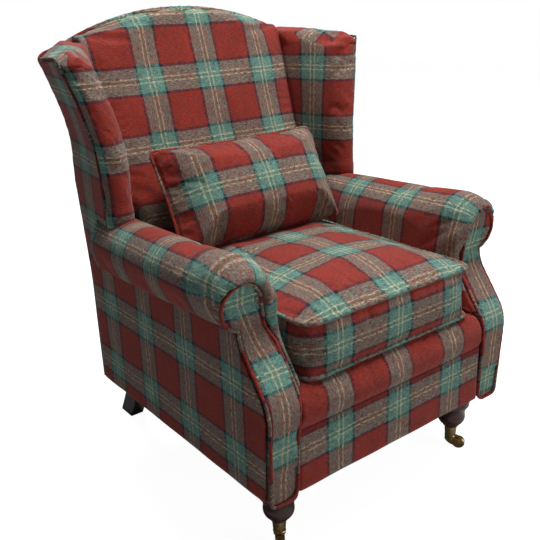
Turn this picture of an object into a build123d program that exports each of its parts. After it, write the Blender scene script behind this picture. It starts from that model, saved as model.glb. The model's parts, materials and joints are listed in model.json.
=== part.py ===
from build123d import *
import math
import os

# Fireside wing chair with a boxed seat cushion, a loose scatter cushion, turned front legs on
# brass castors and raked rear legs.  Millimetres and degrees.  +Z is up, the chair faces -Y,
# +X is the viewer's right from the front, and the origin is on the floor under the middle.
# Each sided piece is drawn on the +X side ("right") and mirrored to the -X side ("left").

# ---------------------------------------------------------------------------- driving sizes
# Body
BODY_BOTTOM = 168.0            # underside of the covered body above the floor
BODY_HALF_WIDTH = 354.0        # middle of the chair to the outside arm cover
FRONT_FACE = -398.0            # lower front panel
BACK_FACE = 317.0              # outside back, below its rake
RAKE_HEIGHT = 478.0            # where the outside back starts to lean
BACK_RAKE = 8.6                # lean of the outside back
RAKE_CURVE = 600.0             # bend where it starts to lean
CROWN_HEIGHT = 1081.0          # top of the arched back
ARCH_RADIUS = 770.0            # arch of the back in front view
ARCH_INSET = 29.0              # arch meets the wing tops this far inside the body's side
COVER = 6.0                    # lined outside covers
SIDE_COVER = 8.0               # outside arm covers with their wadding
SKIN = 5.0                     # outside wing cover
FIT = 0.3                      # air between loose pieces and what holds them

# Hardwood frame
RAIL_THICK = 25.0              # seat rails
RAIL_TOP = 318.0               # top of the seat rails
FRAME_BOTTOM = 172.0           # underside of the frame, above the dust cover
FRONT_RAIL_SETBACK = 12.0      # front panel padding over the front rail
POST_DEPTH = 30.0              # arm posts, front to back
POST_INSET = 6.0               # arm post inside the outline of its facing
BACK_POST_WIDTH = 28.0
BACK_POST_DEPTH = 26.0
BACK_POST_INSET = 22.0         # back posts inside the body's side
ARM_RAIL_WIDTH = 28.0
ARM_RAIL_HEIGHT = 28.0
TOP_RAIL_COVERING = 16.0       # padding over the arched top rail
TOP_RAIL_HEIGHT = 44.0
TACK_RAIL_HEIGHT = 45.0        # rail at the foot of the back
ARM_TACK_WIDTH = 18.0
ARM_TACK_HEIGHT = 30.0
BLOCK_HEIGHT = 58.0            # corner blocks over the legs
BLOCK_REACH = 42.0             # block behind and inside each leg's axis
REAR_BLOCK_DEPTH = 70.0
WING_STICK = 26.0              # square section of the wing frame

# Seat base
DECK_TOP = 392.0
SPRING_WIRE = 3.6
SPRING_COUNT = 4
SPRING_PITCH = 126.0           # across the seat, spring to spring
SPRING_BARS = 8                # turns in each zigzag spring
SPRING_BAR = 20.0              # middle of a spring to the end of a cross bar
CLIP_LENGTH = 16.0
CLIP_HEIGHT = 7.0
WEB_WIDTH = 50.0
WEB_THICK = 2.0
WEB_COUNT = 3
WEB_LOWEST = 545.0
WEB_SPACING = 135.0

# Front
LIP_SEAM = 305.0               # seam between lower panel and lip
LIP_PROUD = 10.0               # lip in front of the panel
LIP_BULGE_HEIGHT = 348.0

# Arm facing, as seen from the side
BELLY_PROUD = 8.0              # furthest forward, before the front panel's face
BELLY_HEIGHT = 375.0
LOWER_LEAN = 3.3
NECK_SETBACK = 80.0            # hollow under the arm's head, behind the panel's face
NECK_HEIGHT = 495.0
HEAD_LEAN = 6.0
BELLY_CURVE = 100.0
NECK_CURVE = 80.0
FACING_PAD = 22.0
# Arm facing, as seen from the front
FACING_INSET = 6.0             # facing's outer edge inside the body's side
FACING_WIDTH = 66.0
FACING_FOOT = 160.0
FACING_BELLY = 9.0             # widening of the inner edge where the front bellies
FACING_WAIST_HEIGHT = 400.0
HEAD_INSET = 8.0               # centre of the facing's round head inside the body's side
HEAD_HEIGHT = 563.0
HEAD_RADIUS = 46.0
HEAD_HOLLOW = 40.0             # inner edge's hollow below the round head
PIPING = 5.0                   # width of the piping bead round the facing

# Arm
ARM_THICK = 104.0              # body's side to the inside arm
ARM_WEB = 34.0                 # padding of the inside arm
ARM_UNDERSIDE = 511.0          # lower edge of the arm roll
ROLL_INSET = 24.0              # middle of the roll inside the body's side
ROLL_HALF_WIDTH = 68.0
ROLL_TOP_FRONT = 656.0
ROLL_TOP_REAR = 634.0
ROLL_REAR = 212.0              # where the roll meets the outside of the wing
ROLL_FRONT_DEPTH = 58.0        # length of the rounded front end
ROLL_PROUD = 14.0              # rounded end before the facing

# Inside back
SEAT_TO_BACK = 580.0           # front panel's face to the foot of the inside back
LUMBAR_HEIGHT = 590.0
LUMBAR_LEAN = 5.4
MIDDLE_LEAN = 23.0
SHOULDER_HEIGHT = 760.0
SHOULDER_LEAN = 16.5
LUMBAR_CURVE = 150.0
SHOULDER_CURVE = 400.0
BACK_PAD_ROOM = 2.0            # beside the inside back, between the arms
POST_PADDING = 6.0             # inside back's edge inside the back posts
BACK_PAD_NARROW_TOP = 600.0
BACK_PAD_WIDE_FROM = 690.0
CROWN_EASE = 15.0              # front edge of the crown

# Wings: level stations of height, nose outward of the body side, nose before the outside
# back, nose radius, and rear edge outward of the body side
WING_STATIONS = [
    (511.0, -15.0, 176.0, 34.0, 0.0),
    (690.0, -11.0, 173.0, 34.0, -1.0),
    (745.0, -8.5, 171.5, 34.0, -6.0),
    (795.0, -5.0, 169.0, 34.0, -8.0),
    (840.0, 4.0, 164.0, 33.5, -3.0),
    (890.0, 16.0, 157.0, 33.0, 9.0),
    (940.0, 31.0, 148.0, 32.0, 24.0),
    (985.0, 45.0, 138.0, 31.0, 39.0),
    (1040.0, 64.0, 126.0, 30.0, 58.0),
]
WING_RIDGE = 1012.0            # highest line of a wing's top
WING_CAP_FALL = 34.0           # slope of the cap, outward
WING_CAP_LIFT = 11.0           # slope of the cap, forward

# Seat cushion
SEAT_ROOM = 1.5                # beside the seat cushion, between the arms
SEAT_FRONT = 4.0               # cushion's front behind the front panel's face
SEAT_SEAM = 513.0              # upper piping
SEAT_CROWN = 43.0              # rise above the upper piping
# rise from front to rear: share of the length, share of the crown
SEAT_RISE = [(0.0, 0.02), (0.12, 0.72), (0.4, 1.0), (0.75, 0.62), (1.0, 0.02)]
SEAT_CORNER = 34.0
SEAT_DRAW_IN = 4.0
# crown of the foam from side to side: share of the half width, share of the crown
CORE_CROWN = [(-1.0, 0.0), (-0.6, 0.62), (0.0, 1.0), (0.6, 0.62), (1.0, 0.0)]
COVER_WADDING = 8.0            # cushion covers with their fibre wrap
CORD = 4.5                     # half height of the cushions' piping

# Scatter cushion
SCATTER_HALF_WIDTH = 245.0
SCATTER_HALF_HEIGHT = 131.0
SCATTER_HALF_THICK = 82.0
SCATTER_CORNER = 16.0
SCATTER_DRAW_IN = 7.0
SCATTER_LEAN = 29.0
SCATTER_Y = 108.0
SCATTER_Z = 654.8

# Front legs and castors
LEG_INSET = 76.0               # leg's axis inside the body's side
LEG_Y = -327.0
LEG_TOP_RADIUS = 43.0
LEG_TOP_LENGTH = 40.0
LEG_NECK_RADIUS = 33.0
LEG_NECK_HEIGHT = 98.0
LEG_BULB_RADIUS = 34.0
LEG_RING_RADIUS = 23.6
LEG_RING_HEIGHT = 71.4
CUP_TOP = 61.4
CUP_BOTTOM = 31.4
CUP_TOP_RADIUS = 15.5
CUP_BOTTOM_RADIUS = 13.3
CUP_BORE = 11.8                # radius of the leg's spigot
CUP_FLOOR = 3.0
STEM_RADIUS = 3.0
RUNNING = 0.05                 # radial clearance of stem and wheel
WHEEL_RADIUS = 15.5
WHEEL_WIDTH = 13.0
WHEEL_OFFSET = 21.0            # wheel axle behind the swivel
CHEEK = 3.0
CHEEK_BOSS = 7.0
AXLE_RADIUS = 2.0
RIVET_RADIUS = 3.4
WHEEL_PLAY = 0.6               # beside the wheel
COLLAR_RADIUS = 13.0
COLLAR_HEIGHT = 5.0
TRAIL_ANGLE = -55.0            # which way the right castor trails, from +X
BOLT_RADIUS = 4.0
BOLT_LENGTH = 95.0
SCREW_RADIUS = 2.5

# Rear legs
REAR_LEG_INSET = 97.0          # rear leg's axis inside the body's side
REAR_LEG_WIDTH = 38.0
REAR_LEG_SETBACK = 2.5         # leg's head before the outside back cover
REAR_LEG_DEPTH = 60.0
REAR_LEG_RAKE = 29.2
REAR_LEG_EDGE = 2.0

# ---------------------------------------------------------------------------- worked out
ABOVE = CROWN_HEIGHT + 100     # clear over everything
BELOW = BODY_BOTTOM - 100      # clear under the covered body
BEHIND = BACK_FACE + 400       # clear behind everything
BEFORE = FRONT_FACE - 200      # clear before everything
BESIDE = BODY_HALF_WIDTH + 250  # clear beside everything
SIDE_RAIL_OUTER = BODY_HALF_WIDTH - SIDE_COVER
ARM_INNER = BODY_HALF_WIDTH - ARM_THICK
FACING_OUTER = BODY_HALF_WIDTH - FACING_INSET
FACING_INNER = FACING_OUTER - FACING_WIDTH
FACING_WAIST = FACING_INNER - FACING_BELLY
FRONT_HALF_WIDTH = FACING_INNER - PIPING
HEAD_X = BODY_HALF_WIDTH - HEAD_INSET
ROLL_X = BODY_HALF_WIDTH - ROLL_INSET
SEAT_HALF_WIDTH = ARM_INNER - SEAT_ROOM
BACK_PAD_LOWER_HALF = ARM_INNER - BACK_PAD_ROOM
LEG_X = BODY_HALF_WIDTH - LEG_INSET
REAR_LEG_X = BODY_HALF_WIDTH - REAR_LEG_INSET
ARCH_HALF_WIDTH = BODY_HALF_WIDTH - ARCH_INSET
ARCH_CENTRE = CROWN_HEIGHT - ARCH_RADIUS
FRAME_BACK = -COVER            # rear of the frame, measured from the outside back
FRAME_FRONT = -COVER - BACK_POST_DEPTH
BACK_POST_OUTER = BODY_HALF_WIDTH - BACK_POST_INSET
BACK_POST_INNER = BACK_POST_OUTER - BACK_POST_WIDTH
BACK_PAD_HALF = BACK_POST_INNER - POST_PADDING
PANEL_TOP = ARM_UNDERSIDE
ARM_COVER_INNER = SIDE_RAIL_OUTER
ARM_WEB_OUTER = ARM_INNER + ARM_WEB
ARM_RAIL_BOTTOM = ARM_UNDERSIDE + 17
ARM_RAIL_TOP = ARM_RAIL_BOTTOM + ARM_RAIL_HEIGHT
RAIL_FRONT_Y = FRONT_FACE + FRONT_RAIL_SETBACK
RAIL_BACK_Y = RAIL_FRONT_Y + RAIL_THICK
INSIDE_BACK_FOOT = FRONT_FACE + SEAT_TO_BACK
BLOCK_TOP = FRAME_BOTTOM + BLOCK_HEIGHT
DECK_BOTTOM = RAIL_TOP + CLIP_HEIGHT
SEAT_BOTTOM = DECK_TOP + FIT
REAR_LEG_TOP_Y = BACK_FACE - COVER - REAR_LEG_SETBACK - REAR_LEG_DEPTH / 2


def slope(angle):
    return math.tan(math.radians(angle))


def outside_back_y(z):
    """Outside back at a height, sharp at the start of its rake."""
    return BACK_FACE + max(0.0, z - RAKE_HEIGHT) * slope(BACK_RAKE)


def inside_back_y(z):
    """Inside back at a height, sharp at its bends."""
    lower = min(z, LUMBAR_HEIGHT) - DECK_TOP
    middle = min(max(z - LUMBAR_HEIGHT, 0), SHOULDER_HEIGHT - LUMBAR_HEIGHT)
    upper = max(z - SHOULDER_HEIGHT, 0)
    lean = lower * slope(LUMBAR_LEAN) + middle * slope(MIDDLE_LEAN) + upper * slope(SHOULDER_LEAN)
    return INSIDE_BACK_FOOT + lean


def arch_z(x, drop=0.0):
    """Height of the arch, lowered by drop, at a distance from the middle."""
    return ARCH_CENTRE + math.sqrt((ARCH_RADIUS - drop) ** 2 - x ** 2)


# ---------------------------------------------------------------------------- tools
def prism_x(face, low, high):
    """Side-view face, drawn as (y, z), made solid between two x positions."""
    return extrude(Plane.YZ.offset(low) * face, high - low)


def prism_y(face, low, high):
    """Front-view face, drawn as (x, z), made solid between two y positions."""
    return extrude(Plane.XZ.offset(-low) * face, high - low, dir=(0, 1, 0))


def prism_z(face, low, high):
    """Plan face made solid between two heights."""
    return extrude(Plane.XY.offset(low) * face, high - low)


def block(x, y, z):
    """Box given by its low and high x, y and z."""
    centre = ((x[0] + x[1]) / 2, (y[0] + y[1]) / 2, (z[0] + z[1]) / 2)
    return Pos(*centre) * Box(x[1] - x[0], y[1] - y[0], z[1] - z[0])


def polygon(*points):
    return make_face(Polyline(*points, close=True))


def mirrored(shape):
    return mirror(shape, about=Plane.YZ)


def both_sides(shape):
    return Compound([*shape.solids(), *mirrored(shape).solids()])


def main_solid(shape):
    """Largest solid of a cut shape."""
    return shape.solids().sort_by(SortBy.VOLUME)[-1]


def facing_line(shift):
    """Side-view front line of the arm, moved back by shift."""
    belly = (FRONT_FACE - BELLY_PROUD + shift, BELLY_HEIGHT)
    neck = (FRONT_FACE + NECK_SETBACK + shift, NECK_HEIGHT)
    foot = (belly[0] + (BELLY_HEIGHT - BELOW) * slope(LOWER_LEAN), BELOW)
    head = (neck[0] - (ABOVE - NECK_HEIGHT) * slope(HEAD_LEAN), ABOVE)
    return FilletPolyline(foot, belly, neck, head, radius=[BELLY_CURVE, NECK_CURVE])


def outside_back_line(shift):
    """Side-view line of the outside back, moved back by shift."""
    foot = (BACK_FACE + shift, BELOW)
    bend = (BACK_FACE + shift, RAKE_HEIGHT)
    top = (outside_back_y(ABOVE) + shift, ABOVE)
    return FilletPolyline(foot, bend, top, radius=[RAKE_CURVE])


def inside_back_line():
    """Side-view line of the inside back."""
    heights = (BELOW, LUMBAR_HEIGHT, SHOULDER_HEIGHT, ABOVE)
    points = [(inside_back_y(z), z) for z in heights]
    return FilletPolyline(*points, radius=[LUMBAR_CURVE, SHOULDER_CURVE])


def between(front, rear):
    """Side-view face between two lines that run from bottom to top."""
    return make_face([front, Line(front @ 1, rear @ 1), rear, Line(front @ 0, rear @ 0)])


def back_band(front, rear, half_width):
    """Slab that follows the outside back, between two distances from it."""
    face = between(outside_back_line(front), outside_back_line(rear))
    return prism_x(face, -half_width, half_width)


def behind_facing(shift, low, high):
    """Everything behind the arm's front line between two x positions."""
    rear = Line((BEHIND, BELOW), (BEHIND, ABOVE))
    return prism_x(between(facing_line(shift), rear), low, high)


# ---------------------------------------------------------------------------- arm facings
def facing_face(grow=0.0):
    """Front-view outline of an arm facing: a round head on a shank with a bellied inner edge."""
    left_of_head = (HEAD_X - HEAD_RADIUS, HEAD_HEIGHT)
    outline = FilletPolyline(
        left_of_head,
        (FACING_INNER + 10, HEAD_HEIGHT - HEAD_RADIUS - 8),
        (FACING_WAIST + 2, HEAD_HEIGHT - HEAD_RADIUS - HEAD_HOLLOW),
        (FACING_WAIST, FACING_WAIST_HEIGHT),
        (FACING_INNER, LIP_SEAM),
        (FACING_INNER, FACING_FOOT),
        (FACING_OUTER, FACING_FOOT),
        (FACING_OUTER, HEAD_HEIGHT),
        radius=[40, 25, 120, 200, 24, 14],
    )
    shank = make_face([outline, Line(outline @ 1, outline @ 0)])
    head = Pos(HEAD_X, HEAD_HEIGHT) * Circle(HEAD_RADIUS)
    face = head + shank
    return offset(face, grow) if grow else face


def facing_band(front, rear):
    face = between(facing_line(front), facing_line(rear))
    return prism_x(face, 0, BESIDE)


def arm_facing():
    return prism_y(facing_face(), BEFORE, 0) & facing_band(0, FACING_PAD)


def facing_piping():
    """Self-covered cord that stands round the facing's front edge."""
    ring = facing_face(PIPING) - facing_face()
    bead = prism_y(ring, BEFORE, 0) & facing_band(-PIPING, PIPING)
    return bead


def post_face():
    """Front-view outline of an arm post, inside its facing's."""
    inner = FACING_INNER + POST_INSET
    outer = FACING_OUTER - POST_INSET
    waist = FACING_WAIST + POST_INSET
    head = HEAD_RADIUS - POST_INSET
    shank = polygon(
        (inner, FRAME_BOTTOM), (inner, LIP_SEAM), (waist, FACING_WAIST_HEIGHT),
        (waist + 3, HEAD_HEIGHT - HEAD_RADIUS - HEAD_HOLLOW - 7), (inner + 14, HEAD_HEIGHT - HEAD_RADIUS),
        (HEAD_X - head, HEAD_HEIGHT), (outer, HEAD_HEIGHT), (outer, FRAME_BOTTOM))
    return shank + Pos(HEAD_X, HEAD_HEIGHT) * RegularPolygon(head, 8)


def arm_post():
    post = prism_y(post_face(), BEFORE, 0) & facing_band(FACING_PAD, FACING_PAD + POST_DEPTH)
    return post & block((0, BODY_HALF_WIDTH), (BEFORE, 0), (FRAME_BOTTOM, ABOVE))


# ---------------------------------------------------------------------------- frame
def front_seat_rail():
    """Rail between the arm posts, its ends rebated behind the facings."""
    half = FACING_INNER + 2 * POST_INSET
    rail = block((-half, half), (RAIL_FRONT_Y, RAIL_BACK_Y), (FRAME_BOTTOM, RAIL_TOP))
    return main_solid(rail - both_sides(arm_facing()) - both_sides(arm_post()))


def rear_seat_rail():
    rail = back_band(FRAME_FRONT, FRAME_BACK, BACK_POST_INNER)
    return rail & block((-BESIDE, BESIDE), (0, BEHIND), (FRAME_BOTTOM, RAIL_TOP))


def side_rail():
    reach = (RAIL_FRONT_Y, BACK_FACE + FRAME_FRONT)
    rail = block((SIDE_RAIL_OUTER - RAIL_THICK, SIDE_RAIL_OUTER), reach, (FRAME_BOTTOM, RAIL_TOP))
    return rail & behind_facing(FACING_PAD + POST_DEPTH, 0, BODY_HALF_WIDTH)


def arm_rail():
    reach = (BEFORE, outside_back_y(ARM_RAIL_TOP) + FRAME_FRONT)
    x = (SIDE_RAIL_OUTER - ARM_RAIL_WIDTH, SIDE_RAIL_OUTER)
    rail = block(x, reach, (ARM_RAIL_BOTTOM, ARM_RAIL_TOP))
    rail &= behind_facing(FACING_PAD + POST_DEPTH, 0, BODY_HALF_WIDTH)
    return rail - back_post()


def arm_tack_rail():
    x = (ARM_WEB_OUTER, ARM_WEB_OUTER + ARM_TACK_WIDTH)
    z = (DECK_TOP, DECK_TOP + ARM_TACK_HEIGHT)
    rail = block(x, (BEFORE, BACK_FACE + FRAME_FRONT), z)
    return rail & behind_facing(FACING_PAD + POST_DEPTH, 0, BODY_HALF_WIDTH)


def arch_face(half_width, foot, drop):
    """Front-view face under the arch, lowered by drop."""
    side = arch_z(half_width, drop)
    arc = ThreePointArc((-half_width, side), (0, arch_z(0, drop)), (half_width, side))
    sides = Polyline((half_width, side), (half_width, foot), (-half_width, foot), (-half_width, side))
    return make_face([arc, sides])


def back_post():
    tall = prism_y(arch_face(BACK_POST_OUTER, FRAME_BOTTOM, TOP_RAIL_COVERING), 0, BEHIND)
    column = block((BACK_POST_INNER, BACK_POST_OUTER), (0, BEHIND), (FRAME_BOTTOM, ABOVE))
    return tall & column & back_band(FRAME_FRONT, FRAME_BACK, BACK_POST_OUTER)


def back_top_rail():
    foot = SHOULDER_HEIGHT
    upper = arch_face(BACK_POST_INNER, foot, TOP_RAIL_COVERING)
    lower = arch_face(BACK_POST_INNER + 1, foot - 1, TOP_RAIL_COVERING + TOP_RAIL_HEIGHT)
    rail = prism_y(upper - lower, 0, BEHIND) & back_band(FRAME_FRONT, FRAME_BACK, BACK_POST_INNER)
    return rail


def back_tack_rail():
    rail = back_band(FRAME_FRONT, FRAME_BACK, BACK_POST_INNER)
    z = (DECK_TOP + 3, DECK_TOP + 3 + TACK_RAIL_HEIGHT)
    return rail & block((-BESIDE, BESIDE), (0, BEHIND), z)


def wing_station(row):
    """Nose centre, nose radius, rear edge and height of one wing station."""
    height, nose_out, nose_before, radius, rear_out = row
    nose = (BODY_HALF_WIDTH + nose_out, BACK_FACE - nose_before)
    return nose, radius, BODY_HALF_WIDTH + rear_out, height


def stick_section(row):
    nose, _, _, height = wing_station(row)
    return Pos(nose[0] - 2, nose[1] + 2, height) * Rectangle(WING_STICK, WING_STICK)


def wing_frame():
    """Upright stick behind the wing's nose, and the rail from its head to the back post."""
    nose, _, _, height = wing_station(WING_STATIONS[-2])
    upright = loft([stick_section(row) for row in WING_STATIONS[:-1]], ruled=True)
    upright &= block((0, BESIDE), (BEFORE, BEHIND), (ARM_RAIL_TOP, height - WING_STICK))
    head = height - 1.5 * WING_STICK
    foot_y = outside_back_y(head) + FRAME_FRONT
    front = Plane.XZ.offset(-nose[1]) * Pos(nose[0] - 12, head) * Rectangle(WING_STICK, WING_STICK)
    rear_x = (BACK_POST_INNER + BACK_POST_OUTER) / 2
    rear = Plane.XZ.offset(-foot_y - 20) * Pos(rear_x, head) * Rectangle(WING_STICK, WING_STICK)
    rail = loft([front, rear], ruled=True)
    return upright + rail - back_post() - arm_rail()


def corner_blocks():
    """Blocks in the four corners of the seat frame that carry the legs."""
    inner = LEG_X - BLOCK_REACH
    outer = SIDE_RAIL_OUTER - RAIL_THICK
    rear = LEG_Y + BLOCK_REACH + 12
    front = polygon(
        (inner, RAIL_BACK_Y), (outer, RAIL_BACK_Y), (outer, rear), (LEG_X + 12, rear), (inner, LEG_Y))
    front = prism_z(front, FRAME_BOTTOM, BLOCK_TOP) - arm_post()
    seat = BACK_FACE + FRAME_FRONT
    low = REAR_LEG_X - REAR_LEG_WIDTH / 2 - 8
    deep = seat - REAR_BLOCK_DEPTH
    rear_block = polygon((low, seat), (outer, seat), (outer, deep), (low + 30, deep), (low, deep + 30))
    rear_block = prism_z(rear_block, FRAME_BOTTOM, BLOCK_TOP)
    return both_sides(Compound([*front.solids(), *rear_block.solids()]))


# ---------------------------------------------------------------------------- seat base
def spring_span():
    return RAIL_BACK_Y - RAIL_THICK / 2, BACK_FACE + FRAME_FRONT + BACK_POST_DEPTH / 2


def zigzag_spring(x):
    """Flat zigzag of square wire from the front rail to the rear rail."""
    start, end = spring_span()
    pitch = (end - start) / SPRING_BARS
    ease = pitch / 4
    points = [(0, start)]
    for bar in range(SPRING_BARS):
        side = SPRING_BAR if bar % 2 == 0 else -SPRING_BAR
        low = start + bar * pitch
        outer = side + math.copysign(ease, side)
        points += [(side, low), (outer, low + ease), (outer, low + pitch - ease), (side, low + pitch)]
    points.append((0, end))
    wire = trace(Polyline(*points), SPRING_WIRE)
    return Pos(x, 0, RAIL_TOP) * extrude(wire, SPRING_WIRE)


def spring_places():
    return [(i - (SPRING_COUNT - 1) / 2) * SPRING_PITCH for i in range(SPRING_COUNT)]


def seat_springs():
    return Compound([s for x in spring_places() for s in zigzag_spring(x).solids()])


def spring_clips():
    """Folded clips nailed to the rails over the end bar of each spring."""
    clips = []
    for x in spring_places():
        for y, inward in zip(spring_span(), (1, -1)):
            ends = sorted((y - inward * CLIP_LENGTH / 2, y + inward * CLIP_LENGTH / 2))
            width = (x - SPRING_BAR, x + SPRING_BAR)
            clip = block(width, ends, (RAIL_TOP, RAIL_TOP + CLIP_HEIGHT)) - zigzag_spring(x)
            clips.append(main_solid(clip))
    return Compound(clips)


def back_webbing():
    strips = []
    for i in range(WEB_COUNT):
        low = WEB_LOWEST + i * WEB_SPACING
        strip = back_band(FRAME_FRONT + 3, FRAME_FRONT + 3 + WEB_THICK, BACK_POST_INNER)
        strips += (strip & block((-BESIDE, BESIDE), (0, BEHIND), (low, low + WEB_WIDTH))).solids()
    return Compound(strips)


def dust_cover():
    reach = (RAIL_BACK_Y - 5, BACK_FACE - COVER)
    sheet = block((-SIDE_RAIL_OUTER + 8, SIDE_RAIL_OUTER - 8), reach, (BODY_BOTTOM, FRAME_BOTTOM))
    holes = both_sides(at_leg(Cylinder(LEG_TOP_RADIUS, 3 * FRAME_BOTTOM)))
    return main_solid(sheet - both_sides(arm_facing()) - holes - both_sides(rear_leg_blank()))


def seat_deck():
    """Stuffed platform that the springs carry, under the cushion."""
    y = (RAIL_BACK_Y, BACK_FACE + FRAME_FRONT)
    deck = block((-ARM_WEB_OUTER, ARM_WEB_OUTER), y, (DECK_BOTTOM, DECK_TOP))
    return deck - both_sides(arm_post())


# ---------------------------------------------------------------------------- front covers
def facing_space():
    """Room that a facing and its piping take in the front covers."""
    return prism_y(facing_face(PIPING), BEFORE, 0) - behind_facing(FACING_PAD, 0, BESIDE)


def front_panel():
    half = FRONT_HALF_WIDTH
    panel = block((-half, half), (FRONT_FACE, RAIL_FRONT_Y), (BODY_BOTTOM, LIP_SEAM))
    return main_solid(panel - both_sides(facing_space()))


def front_lip():
    """Roll of padding over the front rail."""
    bulge = (FRONT_FACE - LIP_PROUD, LIP_BULGE_HEIGHT)
    shoulder = (FRONT_FACE + 6, DECK_TOP - 6)
    crest = (FRONT_FACE + 20, DECK_TOP)
    face = make_face([
        ThreePointArc((FRONT_FACE, LIP_SEAM), bulge, shoulder),
        Line(shoulder, crest),
        Polyline(
            crest, (RAIL_BACK_Y, DECK_TOP), (RAIL_BACK_Y, DECK_BOTTOM), (RAIL_FRONT_Y, DECK_BOTTOM),
            (RAIL_FRONT_Y, LIP_SEAM), (FRONT_FACE, LIP_SEAM)),
    ])
    lip = prism_x(face, -FRONT_HALF_WIDTH, FRONT_HALF_WIDTH)
    return main_solid(lip - both_sides(facing_space()) - both_sides(arm_post()))


# ---------------------------------------------------------------------------- arms
def roll_face(centre, half_width, half_height):
    """Section of the arm roll: four arcs over the top, flat where it sits on the arm rail."""
    def rim(angle):
        turn = math.radians(angle)
        return centre[0] + half_width * math.cos(turn), centre[1] + half_height * math.sin(turn)

    arcs = [ThreePointArc(rim(a), rim(a + 30), rim(a + 60)) for a in range(-60, 240, 60)]
    return make_face([*arcs, Line(rim(240), rim(-60))])


def roll_section(y, shrink, toward_head):
    """Roll section at y; shrink and toward_head round off the front end."""
    half_height = (ROLL_TOP_FRONT - ARM_UNDERSIDE) / 2
    full = (ROLL_X, ARM_UNDERSIDE + half_height)
    x = full[0] + (HEAD_X - full[0]) * toward_head
    z = full[1] + (HEAD_HEIGHT - full[1]) * toward_head
    face = roll_face((x, z), ROLL_HALF_WIDTH - shrink, half_height - shrink)
    return Plane.XZ.offset(-y) * face


def arm_roll():
    """Padded roll along the arm, falling to the rear, with a rounded front end."""
    front = FRONT_FACE + NECK_SETBACK - 2 * ROLL_PROUD
    full = front + ROLL_FRONT_DEPTH
    rounding = [(0.0, 19, 0.9), (0.2, 11, 0.6), (0.5, 4, 0.3), (1.0, 0, 0)]
    sections = [roll_section(front + place * ROLL_FRONT_DEPTH, *rest) for place, *rest in rounding]
    length = ROLL_REAR - full
    body = extrude(sections[-1], length + ROLL_PROUD, dir=(0, 1, 0))
    fall = math.degrees(math.atan2(ROLL_TOP_FRONT - ROLL_TOP_REAR, length))
    tilt = Pos(0, full, ROLL_TOP_FRONT) * Rot(-fall, 0, 0) * Pos(0, -full, -ROLL_TOP_FRONT)
    roll = tilt * (loft(sections, ruled=True) + body)
    roll &= block((0, BESIDE), (BEFORE, ROLL_REAR), (ARM_UNDERSIDE, ABOVE))
    return roll & behind_facing(-ROLL_PROUD, 0, BESIDE)


def arm_web():
    """Upright padding of the inside arm, rounded at its front and leaning out to the roll."""
    top = (ROLL_TOP_FRONT + ARM_UNDERSIDE) / 2 - 6
    web = block((ARM_INNER, ARM_WEB_OUTER), (BEFORE, BACK_FACE + FRAME_FRONT), (DECK_TOP, top))
    web &= behind_facing(-4, 0, BODY_HALF_WIDTH)
    middle = (INSIDE_BACK_FOOT + FRONT_FACE) / 2
    edges = [e for e in web.edges() if abs(e.center().X - ARM_INNER) < 0.01 and e.center().Y < middle
             and DECK_TOP + 1 < e.center().Z < top - 1]
    web = chamfer(edges, ARM_WEB * 0.4)
    lean = polygon(
        (ARM_INNER - 1, NECK_HEIGHT), (ARM_INNER, NECK_HEIGHT), (ROLL_X - ROLL_HALF_WIDTH, top),
        (ROLL_X - ROLL_HALF_WIDTH, top + 1), (ARM_INNER - 1, top + 1))
    return web - prism_y(lean, BEFORE, BEHIND)


def arm_pad():
    hollow = block((ARM_WEB_OUTER, SIDE_RAIL_OUTER), (BEFORE, BEHIND), (0, ARM_RAIL_BOTTOM))
    pad = arm_roll() - hollow + arm_web()
    pad = pad - facing_space() - arm_post() - arm_rail() - wing_frame()
    return main_solid(pad)


def outside_arm():
    """Lined cover of the arm's outside."""
    x = (ARM_COVER_INNER, BODY_HALF_WIDTH)
    panel = block(x, (BEFORE, BACK_FACE - COVER), (BODY_BOTTOM, PANEL_TOP))
    panel &= behind_facing(8, 0, BODY_HALF_WIDTH + 10)
    return main_solid(panel - facing_space())


# ---------------------------------------------------------------------------- back
def back_pad_face(drop=0.0):
    """Front-view outline of the inside back: narrow between the arms, arched at the top."""
    side = arch_z(BACK_PAD_HALF, drop)
    arc = ThreePointArc((-BACK_PAD_HALF, side), (0, arch_z(0, drop)), (BACK_PAD_HALF, side))
    right = Polyline(
        (BACK_PAD_HALF, side), (BACK_PAD_HALF, BACK_PAD_WIDE_FROM),
        (BACK_PAD_LOWER_HALF, BACK_PAD_NARROW_TOP), (BACK_PAD_LOWER_HALF, DECK_TOP))
    left = Polyline(*[(-v.X, v.Y) for v in right.vertices()])
    foot = Line((BACK_PAD_LOWER_HALF, DECK_TOP), (-BACK_PAD_LOWER_HALF, DECK_TOP))
    return make_face([arc, right, left, foot])


def inside_back(arm_pads):
    """Padding of the inside back, turned over the top rail."""
    side_view = between(inside_back_line(), outside_back_line(FRAME_BACK))
    pad = prism_x(side_view, -BACK_PAD_HALF, BACK_PAD_HALF)
    pad &= prism_y(back_pad_face(), 0, BEHIND)
    top_edges = [e for e in pad.edges() if e.center().Z > arch_z(BACK_PAD_HALF) and e.length > BACK_PAD_HALF]
    top_edges.sort(key=lambda e: e.center().Y)
    pad = chamfer(top_edges[0], CROWN_EASE)
    rebate = prism_y(arch_face(BACK_POST_OUTER, BELOW, TOP_RAIL_COVERING), 0, BEHIND)
    rebate &= back_band(FRAME_FRONT, FRAME_BACK + 50, BACK_POST_OUTER)
    return main_solid(pad - rebate - arm_pads)


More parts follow.
